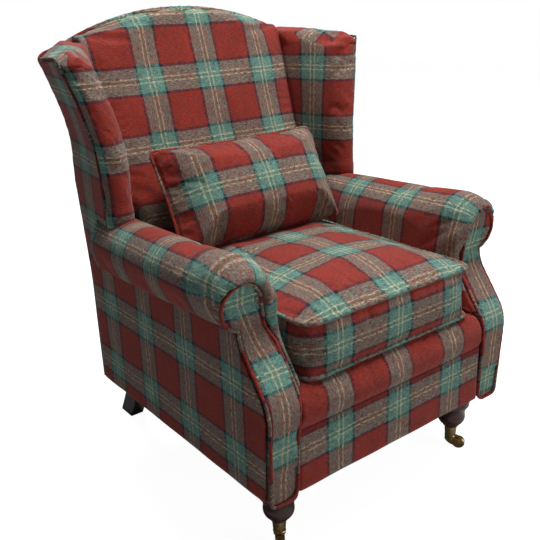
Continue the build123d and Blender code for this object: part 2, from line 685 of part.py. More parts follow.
def rear_outline():
    """Front-view outline of the outside back: straight to the arms, waisted, flared, arched."""
    rows = [wing_station(row) for row in WING_STATIONS[:-1]]
    edge = [(rear_x, height) for _, _, rear_x, height in rows]
    ridge = (ARCH_HALF_WIDTH, arch_z(ARCH_HALF_WIDTH))
    foot = (BODY_HALF_WIDTH, BODY_BOTTOM)
    right = [Polyline(foot, *edge, ridge)]
    left = [mirror(e, about=Plane.YZ) for e in right]
    arc = ThreePointArc(ridge, (0, CROWN_HEIGHT), (-ridge[0], ridge[1]))
    return make_face([*right, *left, arc, Line(foot, (-foot[0], foot[1]))])


def outside_back():
    return prism_y(rear_outline(), 0, BEHIND) & back_band(-COVER, 0, BESIDE)


# ---------------------------------------------------------------------------- wings
def touch_point(point, centre, radius, side):
    """Where a line from point touches a circle, on its left (+1) or right (-1)."""
    dx, dy = centre[0] - point[0], centre[1] - point[1]
    reach = math.hypot(dx, dy)
    turn = math.atan2(dy, dx) + side * math.asin(radius / reach)
    length = math.sqrt(reach ** 2 - radius ** 2)
    return point[0] + length * math.cos(turn), point[1] + length * math.sin(turn)


def back_pad_half(z):
    rise = (z - BACK_PAD_NARROW_TOP) / (BACK_PAD_WIDE_FROM - BACK_PAD_NARROW_TOP)
    share = min(max(rise, 0.0), 1.0)
    return BACK_PAD_LOWER_HALF + share * (BACK_PAD_HALF - BACK_PAD_LOWER_HALF)


def wing_points(row):
    """Rear corner and the two points where a wing's faces touch its rounded nose."""
    nose, radius, rear_x, height = wing_station(row)
    rear = (rear_x, outside_back_y(height) - COVER)
    tuck = (back_pad_half(height) - 13, inside_back_y(height) + 20)
    outer = touch_point(rear, nose, radius, 1)
    inner = touch_point(tuck, nose, radius, -1)
    return nose, radius, rear, tuck, outer, inner


def wing_pad_section(row):
    nose, radius, rear, tuck, outer, inner = wing_points(row)
    start = math.atan2(inner[1] - nose[1], inner[0] - nose[0])
    end = math.atan2(outer[1] - nose[1], outer[0] - nose[0])
    if start > end:
        start -= 2 * math.pi
    rim = [(nose[0] + radius * math.cos(start + (end - start) * i / 4),
            nose[1] + radius * math.sin(start + (end - start) * i / 4)) for i in range(5)]
    faces = [
        ThreePointArc(rim[0], rim[1], rim[2]),
        ThreePointArc(rim[2], rim[3], rim[4]),
        Line(rim[4], (outer[0] - SKIN, outer[1])),
        Line((outer[0] - SKIN, outer[1]), (rear[0] - SKIN, rear[1])),
        Line((rear[0] - SKIN, rear[1]), (tuck[0], rear[1])),
        Line((tuck[0], rear[1]), tuck),
        Line(tuck, rim[0]),
    ]
    return Pos(0, 0, row[0]) * make_face(faces)


def wing_skin_section(row):
    _, _, rear, _, outer, _ = wing_points(row)
    skin = polygon(outer, rear, (rear[0] - SKIN, rear[1]), (outer[0] - SKIN, outer[1]))
    return Pos(0, 0, row[0]) * skin


def trim_wing(wing, arm):
    """Wing cut by its sloping cap, by the arm it stands on and by the space under the arm."""
    ridge_y = outside_back_y(WING_RIDGE) - COVER
    outward = slope(WING_CAP_FALL)
    forward = slope(WING_CAP_LIFT)
    cap = Plane(origin=(ARCH_HALF_WIDTH, ridge_y, WING_RIDGE), z_dir=(outward, forward, 1))
    sloped = cap * Pos(0, 0, BESIDE / 2) * Box(2 * BESIDE, 2 * BESIDE, BESIDE)
    level = block((0, BESIDE), (BEFORE, BEHIND), (WING_RIDGE, ABOVE))
    under = block((0, BESIDE), (BEFORE, ROLL_REAR), (0, ARM_RAIL_TOP))
    return wing - sloped - level - under - arm


def wing_pad(arm, back):
    wing = trim_wing(loft([wing_pad_section(row) for row in WING_STATIONS], ruled=True), arm)
    between_posts = back_band(FRAME_FRONT, FRAME_BACK, BACK_POST_INNER)
    return main_solid(wing - back - between_posts - back_post() - arm_rail() - wing_frame())


def outside_wing(arm):
    return main_solid(trim_wing(loft([wing_skin_section(row) for row in WING_STATIONS], ruled=True), arm))


# ---------------------------------------------------------------------------- cushions
def drawn_in_outline(half_width, low, high, draw_in, corner):
    """Plan outline whose four sides pull in between rounded corners."""
    middle = (low + high) / 2
    corners = [(half_width, low), (half_width, high), (-half_width, high), (-half_width, low)]
    waists = [(half_width - draw_in, middle), (0, high - draw_in), (draw_in - half_width, middle),
              (0, low + draw_in)]
    sides = [ThreePointArc(corners[i], waists[i], corners[(i + 1) % 4]) for i in range(4)]
    face = make_face(sides)
    return fillet(face.vertices(), corner)


def corded(outline, height):
    """Bead of piping round an outline, given as a function of its inset, at a height."""
    return prism_z(outline(-CORD) - outline(0), height - CORD, height + CORD)


def seat_outline(inset):
    half = SEAT_HALF_WIDTH - CORD - inset
    low = FRONT_FACE + SEAT_FRONT + CORD + inset
    high = INSIDE_BACK_FOOT - FIT - CORD - inset
    return drawn_in_outline(half, low, high, SEAT_DRAW_IN, SEAT_CORNER - inset)


def seat_rise(inset):
    """Points of the crown in side view, and the length of the cushion."""
    front = FRONT_FACE + SEAT_FRONT
    length = INSIDE_BACK_FOOT - front
    return [(front + place * length, SEAT_SEAM - inset + SEAT_CROWN * share) for place, share in SEAT_RISE]


def seat_body():
    """Crowned box: level underneath, upright borders, domed top."""
    rise = seat_rise(0)
    front, rear = rise[0][0], rise[-1][0]
    side_view = make_face([
        ThreePointArc(*rise[:3]), ThreePointArc(*rise[2:]),
        Polyline(rise[-1], (rear, SEAT_BOTTOM), (front, SEAT_BOTTOM), rise[0])])
    half = SEAT_HALF_WIDTH
    crown = ThreePointArc((-half, SEAT_SEAM), (0, SEAT_SEAM + SEAT_CROWN), (half, SEAT_SEAM))
    box = Polyline((half, SEAT_SEAM), (half, SEAT_BOTTOM), (-half, SEAT_BOTTOM), (-half, SEAT_SEAM))
    body = prism_x(side_view, -half, half) & prism_y(make_face([crown, box]), front, rear)
    return body & prism_z(seat_outline(0), BELOW, ABOVE)


def seat_core():
    """Foam inside the cover, flat sided."""
    foot = SEAT_BOTTOM + COVER_WADDING
    edge = COVER_WADDING + CORD + SEAT_DRAW_IN
    rise = seat_rise(COVER_WADDING)
    half = SEAT_HALF_WIDTH - edge
    front, rear = rise[0][0], rise[-1][0]
    side_view = polygon(*rise, (rear, foot), (front, foot))
    crown = [(x * half, SEAT_SEAM - COVER_WADDING + SEAT_CROWN * share) for x, share in CORE_CROWN]
    core = prism_x(side_view, -half, half) & prism_y(polygon(*crown, (half, foot), (-half, foot)), front, rear)
    core &= block((-half, half), (front + edge, rear - edge), (foot, ABOVE))
    upright = [e for e in core.edges() if abs((e % 0).Z) > 0.9]
    return chamfer(upright, SEAT_CORNER - COVER_WADDING)


def seat_cushion_piping():
    rings = [corded(seat_outline, SEAT_BOTTOM + CORD), corded(seat_outline, SEAT_SEAM)]
    return Compound([s for ring in rings for s in ring.solids()])


def scatter_outline(inset):
    half = SCATTER_HALF_WIDTH - CORD - inset
    high = SCATTER_HALF_HEIGHT - CORD - inset
    return drawn_in_outline(half, -high, high, SCATTER_DRAW_IN, SCATTER_CORNER - inset)


def pillow_points(half, thick):
    """Upper half of a pillow's section: full over the middle, thin at both ends."""
    side = [(half, 0), (half * 0.8, thick * 0.62), (half * 0.5, thick * 0.93)]
    return [*side, (0, thick), *[(-x, z) for x, z in side[::-1]]]


def pillow_face(half, thick):
    points = pillow_points(half, thick)
    arcs = [ThreePointArc(*points[i:i + 3]) for i in (0, 2, 4)]
    under = [(x, -z) for x, z in points]
    return make_face([*arcs, *[ThreePointArc(*under[i:i + 3]) for i in (0, 2, 4)]])


def scatter_body():
    """Pillow: thin at its drawn-in edges, full in the middle."""
    half = SCATTER_HALF_WIDTH
    high = SCATTER_HALF_HEIGHT
    body = prism_y(pillow_face(half, SCATTER_HALF_THICK), -high, high)
    body &= prism_x(pillow_face(high, SCATTER_HALF_THICK), -half, half)
    return body & prism_z(scatter_outline(0), -half, half)


def scatter_filling():
    """Filling inside the cover, flat sided."""
    thick = SCATTER_HALF_THICK - COVER_WADDING
    half = SCATTER_HALF_WIDTH - COVER_WADDING - CORD - SCATTER_DRAW_IN
    high = SCATTER_HALF_HEIGHT - COVER_WADDING - CORD - SCATTER_DRAW_IN
    sections = []
    for reach in (half, high):
        upper = pillow_points(reach, thick)
        sections.append(polygon(*upper, *[(x, -z) for x, z in upper[-2:0:-1]]))
    return prism_y(sections[0], -high, high) & prism_x(sections[1], -half, half)


def scatter_place():
    lean = math.radians(SCATTER_LEAN)
    normal = (0, -math.cos(lean), math.sin(lean))
    return Plane(origin=(0, SCATTER_Y, SCATTER_Z), x_dir=(1, 0, 0), z_dir=normal)


# ---------------------------------------------------------------------------- front legs
def at_leg(shape):
    return Pos(LEG_X, LEG_Y, 0) * shape


def turned(edges):
    """Solid of revolution of a closed (radius, height) outline."""
    return revolve(Plane.XZ * make_face(edges), Axis.Z)


def turned_leg():
    """Turned leg: flange, cove, bulb, ring and the spigot that the castor cup holds."""
    flange_foot = FRAME_BOTTOM - LEG_TOP_LENGTH
    lip = (LEG_TOP_RADIUS - 4, flange_foot - 11)
    neck = (LEG_NECK_RADIUS, LEG_NECK_HEIGHT)
    ring = (LEG_RING_RADIUS, LEG_RING_HEIGHT)
    under_ring = (LEG_RING_RADIUS - 2, LEG_RING_HEIGHT - 2)
    seat = (CUP_TOP_RADIUS, CUP_TOP)
    spigot_end = CUP_BOTTOM + CUP_FLOOR + 4
    cove = ((lip[0] + neck[0]) / 2 - 2, (lip[1] + neck[1]) / 2)
    bulb = (LEG_BULB_RADIUS - 1.5, (LEG_NECK_HEIGHT + LEG_RING_HEIGHT) / 2 - 1)
    edges = [
        Polyline(
            (0, FRAME_BOTTOM), (LEG_TOP_RADIUS, FRAME_BOTTOM), (LEG_TOP_RADIUS, flange_foot),
            (LEG_TOP_RADIUS - 1, flange_foot - 7), lip),
        ThreePointArc(lip, cove, neck),
        ThreePointArc(neck, bulb, ring),
        Polyline(
            ring, under_ring, (under_ring[0] - 1.6, (under_ring[1] + CUP_TOP) / 2), seat,
            (CUP_BORE, CUP_TOP), (CUP_BORE, spigot_end), (0, spigot_end), (0, FRAME_BOTTOM)),
    ]
    return turned(edges)


def bar(radius, length):
    """Bolt or screw, drawn with eight sides."""
    return extrude(RegularPolygon(radius, 8), length)


def leg_bolt():
    low = FRAME_BOTTOM + BLOCK_HEIGHT * 0.7 - BOLT_LENGTH
    return Pos(0, 0, low) * bar(BOLT_RADIUS, BOLT_LENGTH)


def front_leg():
    return at_leg(turned_leg() - leg_bolt() - cup_screw())


def cup_screw():
    """Round-head screw through the back of the cup into the leg."""
    z = (CUP_BOTTOM + CUP_TOP) / 2 + 3
    head = bar(SCREW_RADIUS, CUP_TOP_RADIUS - CUP_BORE - 1)
    shank = bar(SCREW_RADIUS / 2, CUP_TOP_RADIUS - 5)
    return Plane(origin=(0, CUP_TOP_RADIUS, z), x_dir=(1, 0, 0), z_dir=(0, -1, 0)) * (head + shank)


def castor_cup():
    """Brass cup with a beaded foot and a floor that the swivel stem turns in."""
    bore = STEM_RADIUS + RUNNING
    floor = CUP_BOTTOM + CUP_FLOOR
    edges = Polyline(
        (bore, CUP_BOTTOM), (CUP_BOTTOM_RADIUS - 0.5, CUP_BOTTOM), (CUP_BOTTOM_RADIUS + 0.8, CUP_BOTTOM + 1.4),
        (CUP_BOTTOM_RADIUS + 0.8, CUP_BOTTOM + 2.8), (CUP_BOTTOM_RADIUS, CUP_BOTTOM + 4),
        (CUP_TOP_RADIUS, CUP_TOP), (CUP_BORE, CUP_TOP), (CUP_BORE, floor), (bore, floor), close=True)
    return at_leg(turned(edges) - cup_screw())


def trailing(shape):
    """Castor piece drawn trailing toward +X, turned to its resting angle on the leg's axis."""
    return at_leg(Rot(0, 0, TRAIL_ANGLE) * shape)


def across(radius, half_width):
    """Cylinder on the wheel's axle."""
    return Pos(WHEEL_OFFSET, 0, WHEEL_RADIUS) * Rot(90, 0, 0) * Cylinder(radius, 2 * half_width)


def castor_fork():
    """Horn of the castor: stem, collar and two crescent cheeks."""
    top = CUP_BOTTOM - FIT
    inside = WHEEL_WIDTH / 2 + WHEEL_PLAY
    outside = inside + CHEEK
    boss = (WHEEL_OFFSET, WHEEL_RADIUS)
    crescent = make_face([
        ThreePointArc(
            (-COLLAR_RADIUS, top - COLLAR_HEIGHT), (-COLLAR_RADIUS / 3, top - 3 * COLLAR_HEIGHT),
            (boss[0] - CHEEK_BOSS / 2, boss[1] - CHEEK_BOSS * 0.87)),
        Line((boss[0] - CHEEK_BOSS / 2, boss[1] - CHEEK_BOSS * 0.87), boss),
        Line(boss, (boss[0] + CHEEK_BOSS / 2, boss[1] + CHEEK_BOSS * 0.87)),
        ThreePointArc(
            (boss[0] + CHEEK_BOSS / 2, boss[1] + CHEEK_BOSS * 0.87), (boss[0] - 4, top - 2),
            (COLLAR_RADIUS / 2, top - 1)),
        Polyline((COLLAR_RADIUS / 2, top - 1), (-COLLAR_RADIUS, top - 1), (-COLLAR_RADIUS, top - COLLAR_HEIGHT)),
    ])
    crescent += Pos(*boss) * Circle(CHEEK_BOSS)
    horn = extrude(Plane.XZ * crescent, outside, both=True)
    collar = Pos(0, 0, top) * Cylinder(
        COLLAR_RADIUS, COLLAR_HEIGHT, align=(Align.CENTER, Align.CENTER, Align.MAX))
    horn = horn + collar - across(WHEEL_RADIUS + 1, inside)
    head = CUP_BOTTOM + CUP_FLOOR + FIT
    stem_length = head + 2 - top
    horn += Pos(0, 0, top) * Cylinder(STEM_RADIUS, stem_length, align=(Align.CENTER, Align.CENTER, Align.MIN))
    horn += Pos(0, 0, head) * bar(STEM_RADIUS + 2, 2)
    return trailing(horn - across(AXLE_RADIUS, outside + 2))


def castor_axle():
    reach = WHEEL_WIDTH / 2 + WHEEL_PLAY + CHEEK
    pin = across(AXLE_RADIUS, reach)
    for side in (-1, 1):
        pin += Pos(WHEEL_OFFSET, side * reach, WHEEL_RADIUS) * Rot(-90 * side, 0, 0) * bar(RIVET_RADIUS, 1.2)
    return trailing(pin)


def castor_wheel():
    wheel = across(WHEEL_RADIUS, WHEEL_WIDTH / 2)
    wheel = chamfer(wheel.edges().filter_by(GeomType.CIRCLE), 1.6)
    return trailing(wheel - across(AXLE_RADIUS + RUNNING, WHEEL_WIDTH))


# ---------------------------------------------------------------------------- rear legs
def rear_screws():
    """Two screws up through the head of a rear leg."""
    screws = [
        Pos(REAR_LEG_X, REAR_LEG_TOP_Y + y, FRAME_BOTTOM - reach) * bar(SCREW_RADIUS, 2 * reach)
        for y, reach in ((-9.0, 22.0), (14.0, 30.0))
    ]
    return Compound([s for screw in screws for s in screw.solids()])


def rear_leg_blank():
    """Raked square leg with its long edges eased."""
    shift = FRAME_BOTTOM * slope(REAR_LEG_RAKE)
    half = REAR_LEG_DEPTH / 2
    face = polygon(
        (REAR_LEG_TOP_Y - half, FRAME_BOTTOM), (REAR_LEG_TOP_Y + half, FRAME_BOTTOM),
        (REAR_LEG_TOP_Y + half + shift, 0), (REAR_LEG_TOP_Y - half + shift, 0))
    leg = prism_x(face, REAR_LEG_X - REAR_LEG_WIDTH / 2, REAR_LEG_X + REAR_LEG_WIDTH / 2)
    long_edges = [e for e in leg.edges() if abs((e % 0).X) < 0.5 and abs((e % 0).Z) > 0.5]
    return chamfer(long_edges, REAR_LEG_EDGE)


def rear_leg():
    return rear_leg_blank() - rear_screws()


# ---------------------------------------------------------------------------- the chair
def sided(name, shape):
    return {f"{name}_right": shape, f"{name}_left": mirrored(shape)}


def build_nodes():
    nodes = {}
    bolts = both_sides(at_leg(leg_bolt()))
    screws = both_sides(rear_screws())
    arm = arm_pad()
    arms = both_sides(arm)
    back = inside_back(arms)

    nodes["front_seat_rail"] = front_seat_rail()
    nodes["rear_seat_rail"] = rear_seat_rail() - screws
    nodes["corner_blocks"] = corner_blocks() - bolts - screws
    nodes["back_top_rail"] = back_top_rail()
    nodes["back_tack_rail"] = back_tack_rail()
    nodes |= sided("side_rail", side_rail())
    nodes |= sided("arm_post", arm_post())
    nodes |= sided("arm_rail", arm_rail())
    nodes |= sided("arm_tack_rail", arm_tack_rail())
    nodes |= sided("back_post", back_post())
    nodes |= sided("wing_frame", wing_frame())

    nodes["seat_springs"] = seat_springs()
    nodes["spring_clips"] = spring_clips()
    nodes["back_webbing"] = back_webbing()
    nodes["dust_cover"] = dust_cover()

    nodes["seat_deck"] = seat_deck()
    nodes["front_lip"] = front_lip()
    nodes["front_panel"] = front_panel()
    nodes["inside_back"] = back
    nodes["outside_back"] = outside_back()
    nodes |= sided("arm_pad", arm)
    nodes |= sided("outside_arm", outside_arm())
    nodes |= sided("arm_facing", arm_facing())
    nodes |= sided("facing_piping", facing_piping())
    nodes |= sided("wing_pad", wing_pad(arm, back))
    nodes |= sided("outside_wing", outside_wing(arm))

    nodes["seat_cushion_core"] = seat_core()
    nodes["seat_cushion_cover"] = seat_body() - nodes["seat_cushion_core"]
    nodes["seat_cushion_piping"] = seat_cushion_piping()
    filling = scatter_filling()
    nodes["scatter_cushion_cover"] = scatter_place() * (scatter_body() - filling)
    nodes["scatter_cushion_filling"] = scatter_place() * filling
    nodes["scatter_cushion_piping"] = scatter_place() * corded(scatter_outline, 0)

    nodes |= sided("front_leg", front_leg())
    nodes |= sided("rear_leg", rear_leg())
    nodes["leg_bolts"] = bolts
    nodes["rear_leg_screws"] = screws
    nodes |= sided("castor_cup", castor_cup())
    nodes |= sided("castor_fork", castor_fork())
    nodes |= sided("castor_axle", castor_axle())
    nodes |= sided("castor_wheel", castor_wheel())
    nodes["cup_screws"] = both_sides(at_leg(cup_screw()))
    return nodes


os.makedirs("parts", exist_ok=True)
for node_name, node_shape in build_nodes().items():
    export_step(node_shape, f"parts/{node_name}.step")
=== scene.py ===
import json
import math

import bmesh
import bpy
import numpy as np
from mathutils import Matrix, Vector


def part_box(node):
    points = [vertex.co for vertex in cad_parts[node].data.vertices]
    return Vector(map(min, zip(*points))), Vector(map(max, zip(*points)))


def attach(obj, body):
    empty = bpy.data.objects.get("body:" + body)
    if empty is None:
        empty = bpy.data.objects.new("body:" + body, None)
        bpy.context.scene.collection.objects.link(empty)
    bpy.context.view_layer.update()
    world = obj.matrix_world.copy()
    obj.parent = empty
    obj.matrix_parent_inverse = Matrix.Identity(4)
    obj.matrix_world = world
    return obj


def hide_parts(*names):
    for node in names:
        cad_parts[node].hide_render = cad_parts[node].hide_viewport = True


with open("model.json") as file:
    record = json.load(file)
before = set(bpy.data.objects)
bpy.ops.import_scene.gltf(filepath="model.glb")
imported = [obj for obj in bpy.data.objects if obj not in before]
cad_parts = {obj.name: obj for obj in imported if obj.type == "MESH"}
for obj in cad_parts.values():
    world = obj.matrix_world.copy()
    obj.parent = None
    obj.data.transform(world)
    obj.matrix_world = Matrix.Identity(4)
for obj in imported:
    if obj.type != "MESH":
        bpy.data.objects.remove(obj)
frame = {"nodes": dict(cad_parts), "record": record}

# Fireside wing chair.  Sizes are in millimetres in the row frame: +Z up, the chair faces -Y.
# A padded piece starts from its node's solid, is remeshed, relaxed and blown up as cloth between its
# pinned seams, and then gets its gathers and its tartan coordinates.  The facings and the outside covers
# are too thin for a remesh: they are their nodes' skins, cut along a grid and padded by moving points.

MM = 0.001
NODES = frame["nodes"]
SCENE = bpy.context.scene

# Tartan sett, measured on the photographed cloth
REPEAT_ACROSS = 171.0
REPEAT_ALONG = 163.0
BACK_REPEAT_ALONG = 156.0
SEAT_REPEAT_ALONG = 166.0
OUTSIDE_WING_REPEAT_ALONG = 153.0
# Where the middles of two teal bands cross on a panel: column across, row along
SEAT_CROSSING = (8.0, -210.0)
SEAT_BORDER_ROW = 452.0
SEAT_SIDE_COLUMN = -295.0
SCATTER_CROSSING = (2.0, 0.0)
BACK_CROSSING = (30.0, 912.0)
LIP_CROSSING = (-2.0, 274.5)
FRONT_PANEL_CROSSING = (5.0, 261.0)
OUTSIDE_BACK_CROSSING = (12.0, 912.0)
OUTSIDE_ARM_CROSSING = (50.0, 400.0)
OUTSIDE_WING_CROSSING = (251.0, 912.0)
WING_CROSSINGS = {"right": (117.0, 910.0), "left": (106.0, 929.0)}
# Arms: column, row, repeat across, share of the cloth that the gathered dome takes, repeat along in front
ARM_CLOTHS = {"right": (30.0, 635.0, 167.0, 0.95, 163.0), "left": (68.0, 775.0, 152.0, 0.4, 122.0)}
# Facings: the column at each of the heights, row, repeat along
FACING_COLUMN_HEIGHTS = (270.0, 432.0, 520.0, 566.0)
FACING_CLOTHS = {"right": ((318.0, 318.0, 322.0, 330.0), 381.0, 172.0),
                 "left": ((317.0, 307.0, 330.0, 348.0), 432.0, 157.0)}
# Piping: its radii, the places in the sett that its strips are cut from, and its mesh; the wing welt's place,
# in the navy band, is painted shade of the dark groove along its seam
PIPING_RADIUS = 4.6
SCATTER_PIPING_RADIUS = 4.0
FACING_PIPING_RADIUS = 3.6
WELT_RADIUS = 3.0
SEAT_CORD_WEFT = 0.13
SCATTER_CORD_WEFT = 0.4
FACING_CORD_WEFT = 0.45
# In the navy band: the welt's dark cord is painted shade of its seam's groove
WELT_PAINTED_SHADE_WEFT = 0.21
CORD_STEP = 4.0
CORD_SIDES = 10
ARC_STEP = 3.0
# Cloth simulation
PRESSURE = 4.0
CLOTH_FRAMES = 20
# Camera found by fitting the photograph
CAMERA_PLACE = (-1055.45, -1352.02, 1091.79)
CAMERA_AZIMUTH = -37.18
CAMERA_ELEVATION = 20.15
CAMERA_ROLL = -2.09
FOCAL_PIXELS = 741.44
PHOTO_PIXELS = 540
SENSOR = 36.0
# Lights: place, aim and width in metres, watts
LIGHTS = {"key": ((0.55, -0.4, 4.1), (0, 0, 0.5), 1.5, 116),
          "fill": ((1.1, -2.4, 0.5), (0.1, 0, 0.25), 1.4, 13),
          "rim": ((0.6, 2.4, 2.8), (0, 0, 0.7), 1.6, 34)}
FLOOR_REACH = 9.0
FLOOR_GLOW = 0.95              # how white the camera sees the floor


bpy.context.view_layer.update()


# ---------------------------------------------------------------------------- numbers and curves
def spread(low, high, value):
    """0 at low, 1 at high, smooth between."""
    t = np.clip((value - low) / (high - low), 0, 1)
    return t * t * (3 - 2 * t)


def ripple(points, wave, seed=0.0):
    """Smooth pseudo-random height in about -1 to 1 from a few crossed waves."""
    x, y, z = (points[..., i] * (2 * math.pi / wave) for i in range(3))
    total = np.sin(x + 1.7 * np.sin(0.61 * y + seed) + 0.9 * z + seed)
    total += np.sin(1.31 * y + 1.3 * np.sin(0.73 * z - seed) - 0.7 * x + 2.1 * seed)
    total += np.sin(0.87 * z + 1.1 * np.sin(0.9 * x + 2 * seed) + 1.13 * y - seed)
    return total / 3


def rounded(points, radii):
    """Dense polyline through points, with its inner corners rounded."""
    points = [np.array(p, float) for p in points]
    out = [points[0]]
    for i, radius in enumerate(radii, start=1):
        before, corner, after = points[i - 1], points[i], points[i + 1]
        a = (before - corner) / np.linalg.norm(before - corner)
        b = (after - corner) / np.linalg.norm(after - corner)
        half = math.acos(np.clip(a @ b, -1, 1)) / 2
        cut = radius / math.tan(half)
        start, end = corner + a * cut, corner + b * cut
        centre = corner + (a + b) / np.linalg.norm(a + b) * radius / math.sin(half)
        arc = math.pi - 2 * half
        count = max(2, int(arc * radius / ARC_STEP))
        for k in range(count + 1):
            t = k / count
            turned = (start - centre) * math.sin((1 - t) * arc) + (end - centre) * math.sin(t * arc)
            out.append(centre + turned / math.sin(arc))
    out.append(points[-1])
    return np.array(out)


def resample(line, closed=False):
    """Points about CORD_STEP apart along a polyline."""
    if closed:
        line = np.vstack([line, line[:1]])
    lengths = np.r_[0, np.cumsum(np.linalg.norm(np.diff(line, axis=0), axis=1))]
    count = max(2, int(round(lengths[-1] / CORD_STEP)))
    places = np.linspace(0, lengths[-1], count + 1)
    if closed:
        places = places[:-1]
    return np.stack([np.interp(places, lengths, line[:, i]) for i in range(line.shape[1])], axis=1)


# ---------------------------------------------------------------------------- forms of the chair
FRONT_FACE = -398.0
BACK_FACE = 317.0
RAKE_HEIGHT = 478.0            # the back leans from here up
BACK_RAKE = 8.6
# Arm facings: (y, z) down their front line, (x, z) round their shank and head
FACING_LINE = [(-394.0, 100.0), (-406.0, 375.0), (-318.0, 495.0), (-335.3, 660.0)]
FACING_BENDS = [100.0, 80.0]
HEAD = (346.0, 563.0)
HEAD_RADIUS = 46.0
SHANK = [(300.0, 563.0), (292.0, 509.0), (275.0, 477.0), (273.0, 400.0), (282.0, 305.0), (282.0, 160.0),
         (348.0, 160.0), (348.0, 540.0)]
SHANK_BENDS = [40.0, 25.0, 120.0, 200.0, 24.0, 14.0]
NECK = (352.0, 516.0)
NECK_TURNS = (-1.1, -0.7, -0.3)
# Inside back: (y, z)
INSIDE_BACK_LINE = [(163.0, 200.0), (200.7, 590.0), (272.9, 760.0), (367.7, 1080.0)]
INSIDE_BACK_BENDS = [150.0, 400.0]
INSIDE_BACK_REACH = 288.0      # the wings hide what is past this
# Arm rolls
ROLL_CENTRE = (330.0, 583.0)
ROLL_RADIUS = 70.0
ROLL_LAP = 7.0                 # the roll's underside laps over the outside arm
ROLL_DOME = -200.0             # the cloth is gathered before this
ROLL_FRONT = (-225.0, -300.0)  # the repeat along changes between these
GATHERS = 21.0                 # folds in a turn round the roll's end
# Wings: centre of the rounded nose and outer edge at the rear, by height
NOSE_HEIGHTS = [511.0, 690.0, 745.0, 795.0, 840.0, 890.0, 940.0, 985.0, 1040.0]
NOSE_X = [339.0, 343.0, 345.5, 349.0, 358.0, 370.0, 385.0, 399.0, 418.0]
NOSE_Y = [141.0, 144.0, 145.5, 148.0, 153.0, 160.0, 169.0, 179.0, 191.0]
REAR_X = [354.0, 353.0, 348.0, 346.0, 351.0, 363.0, 378.0, 393.0, 412.0]
NOSE_RADIUS = 33.5
NOSE_DROP = 11.0               # the nose's top dips before the cap
WING_INNER = 286.0
WING_FOOT = 665.0
WING_FOOT_LAP = 11.0           # the foot laps over the arm
# Wing caps: (front, rear) of each line
CAP_FRONT, CAP_REAR = 160.0, 392.0
CAP_OUTER = (429.0, 388.0)
CAP_RIDGE = (392.0, 304.0)
CAP_CROSSING = (398.0, 268.0)  # the cap's own bands cross here
CAP_HEIGHT = 955.0
CAP_RISE = 9.0
CAP_LAP = 8.0                  # the cap laps over the outside panel
WELT_HEIGHTS = (655.0, 985.0)
WELT_OVER_CAP = [(422.5, 205.0, 987.0), (406.0, 288.0, 983.0), (390.0, 368.0, 978.0)]
WELT_BENDS = [12.0, 60.0]
# Outer top corner, shared by the wing and the outside back
CORNER = (350.0, 956.0)
CORNER_RADIUS = 44.0
# Cushions
SEAT_SEAM = 513.0
SEAT_BOTTOM = 392.3
SEAT_CORNER = 34.0
SEAT_DRAW = 3.0                # its front and rear edges are drawn in
SCATTER_CENTRE = (0.0, 108.0, 654.8)
SCATTER_LEAN = math.radians(29.0)
SCATTER_HALF = 241.0
SCATTER_HIGH = 127.0
SCATTER_CORNER = 18.0
SCATTER_DRAW = 6.5             # its edges are drawn in between the corners
# Cloths stretched under the seat and across the back
BOTTOMING_SIDE = 6.0
BOTTOMING_FRONT = 44.0
BOTTOMING_REAR = 76.0
WEB_COUNT = 3
WEB_WIDTH = 50.0
WEB_INSET = 32.0               # in from the outside back

facing_curve = rounded(FACING_LINE, FACING_BENDS)
facing_lengths = np.r_[0, np.cumsum(np.hypot(*np.diff(facing_curve, axis=0).T))]
inside_back_curve = rounded(INSIDE_BACK_LINE, INSIDE_BACK_BENDS)


def facing_y(z):
    """Front line of the arm facings at a height."""
    return np.interp(z, facing_curve[:, 1], facing_curve[:, 0])


def facing_run(z):
    """Length of the facings' front line up to a height."""
    return np.interp(z, facing_curve[:, 1], facing_lengths)


def inside_back_y(z):
    return np.interp(z, inside_back_curve[:, 1], inside_back_curve[:, 0])


def outside_back_y(z):
    return BACK_FACE + np.maximum(0, z - RAKE_HEIGHT) * math.tan(math.radians(BACK_RAKE))


def facing_outline():
    """Front-view outline of the right facing, from the head's inner side round the foot and the head."""
    shank = rounded(SHANK, SHANK_BENDS)
    turns = np.r_[NECK_TURNS, np.linspace(-0.02, math.pi + 0.02, 48)]
    head = np.stack([HEAD[0] + HEAD_RADIUS * np.cos(turns), HEAD[1] + HEAD_RADIUS * np.sin(turns)], axis=1)
    return np.vstack([shank[:-1], [NECK], head])


# ---------------------------------------------------------------------------- meshes
def points_of(mesh):
    co = np.empty(len(mesh.vertices) * 3)
    mesh.vertices.foreach_get("co", co)
    return co.reshape(-1, 3) / MM


def set_points(mesh, points):
    mesh.vertices.foreach_set("co", (points * MM).ravel())
    mesh.update()


def new_object(name, mesh):
    obj = bpy.data.objects.new(name, mesh)
    SCENE.collection.objects.link(obj)
    return obj


def baked(obj):
    """Mesh of an object with its modifiers applied; the object is removed."""
    graph = bpy.context.evaluated_depsgraph_get()
    mesh = bpy.data.meshes.new_from_object(obj.evaluated_get(graph))
    bpy.data.objects.remove(obj)
    return mesh


def edges_of(mesh):
    pairs = np.empty(len(mesh.edges) * 2, int)
    mesh.edges.foreach_get("vertices", pairs)
    return pairs.reshape(-1, 2)


def relax(points, pairs, rounds, weight=None):
    """Laplacian smoothing; weight 0 keeps a point where it is."""
    count = len(points)
    degree = np.bincount(pairs.ravel(), minlength=count).astype(float)[:, None]
    share = 0.5 if weight is None else 0.5 * weight[:, None]
    for _ in range(rounds):
        total = np.zeros_like(points)
        for i in range(3):
            total[:, i] = np.bincount(pairs[:, 0], points[pairs[:, 1], i], count)
            total[:, i] += np.bincount(pairs[:, 1], points[pairs[:, 0], i], count)
        points = points + (total / np.maximum(degree, 1) - points) * share
    return points


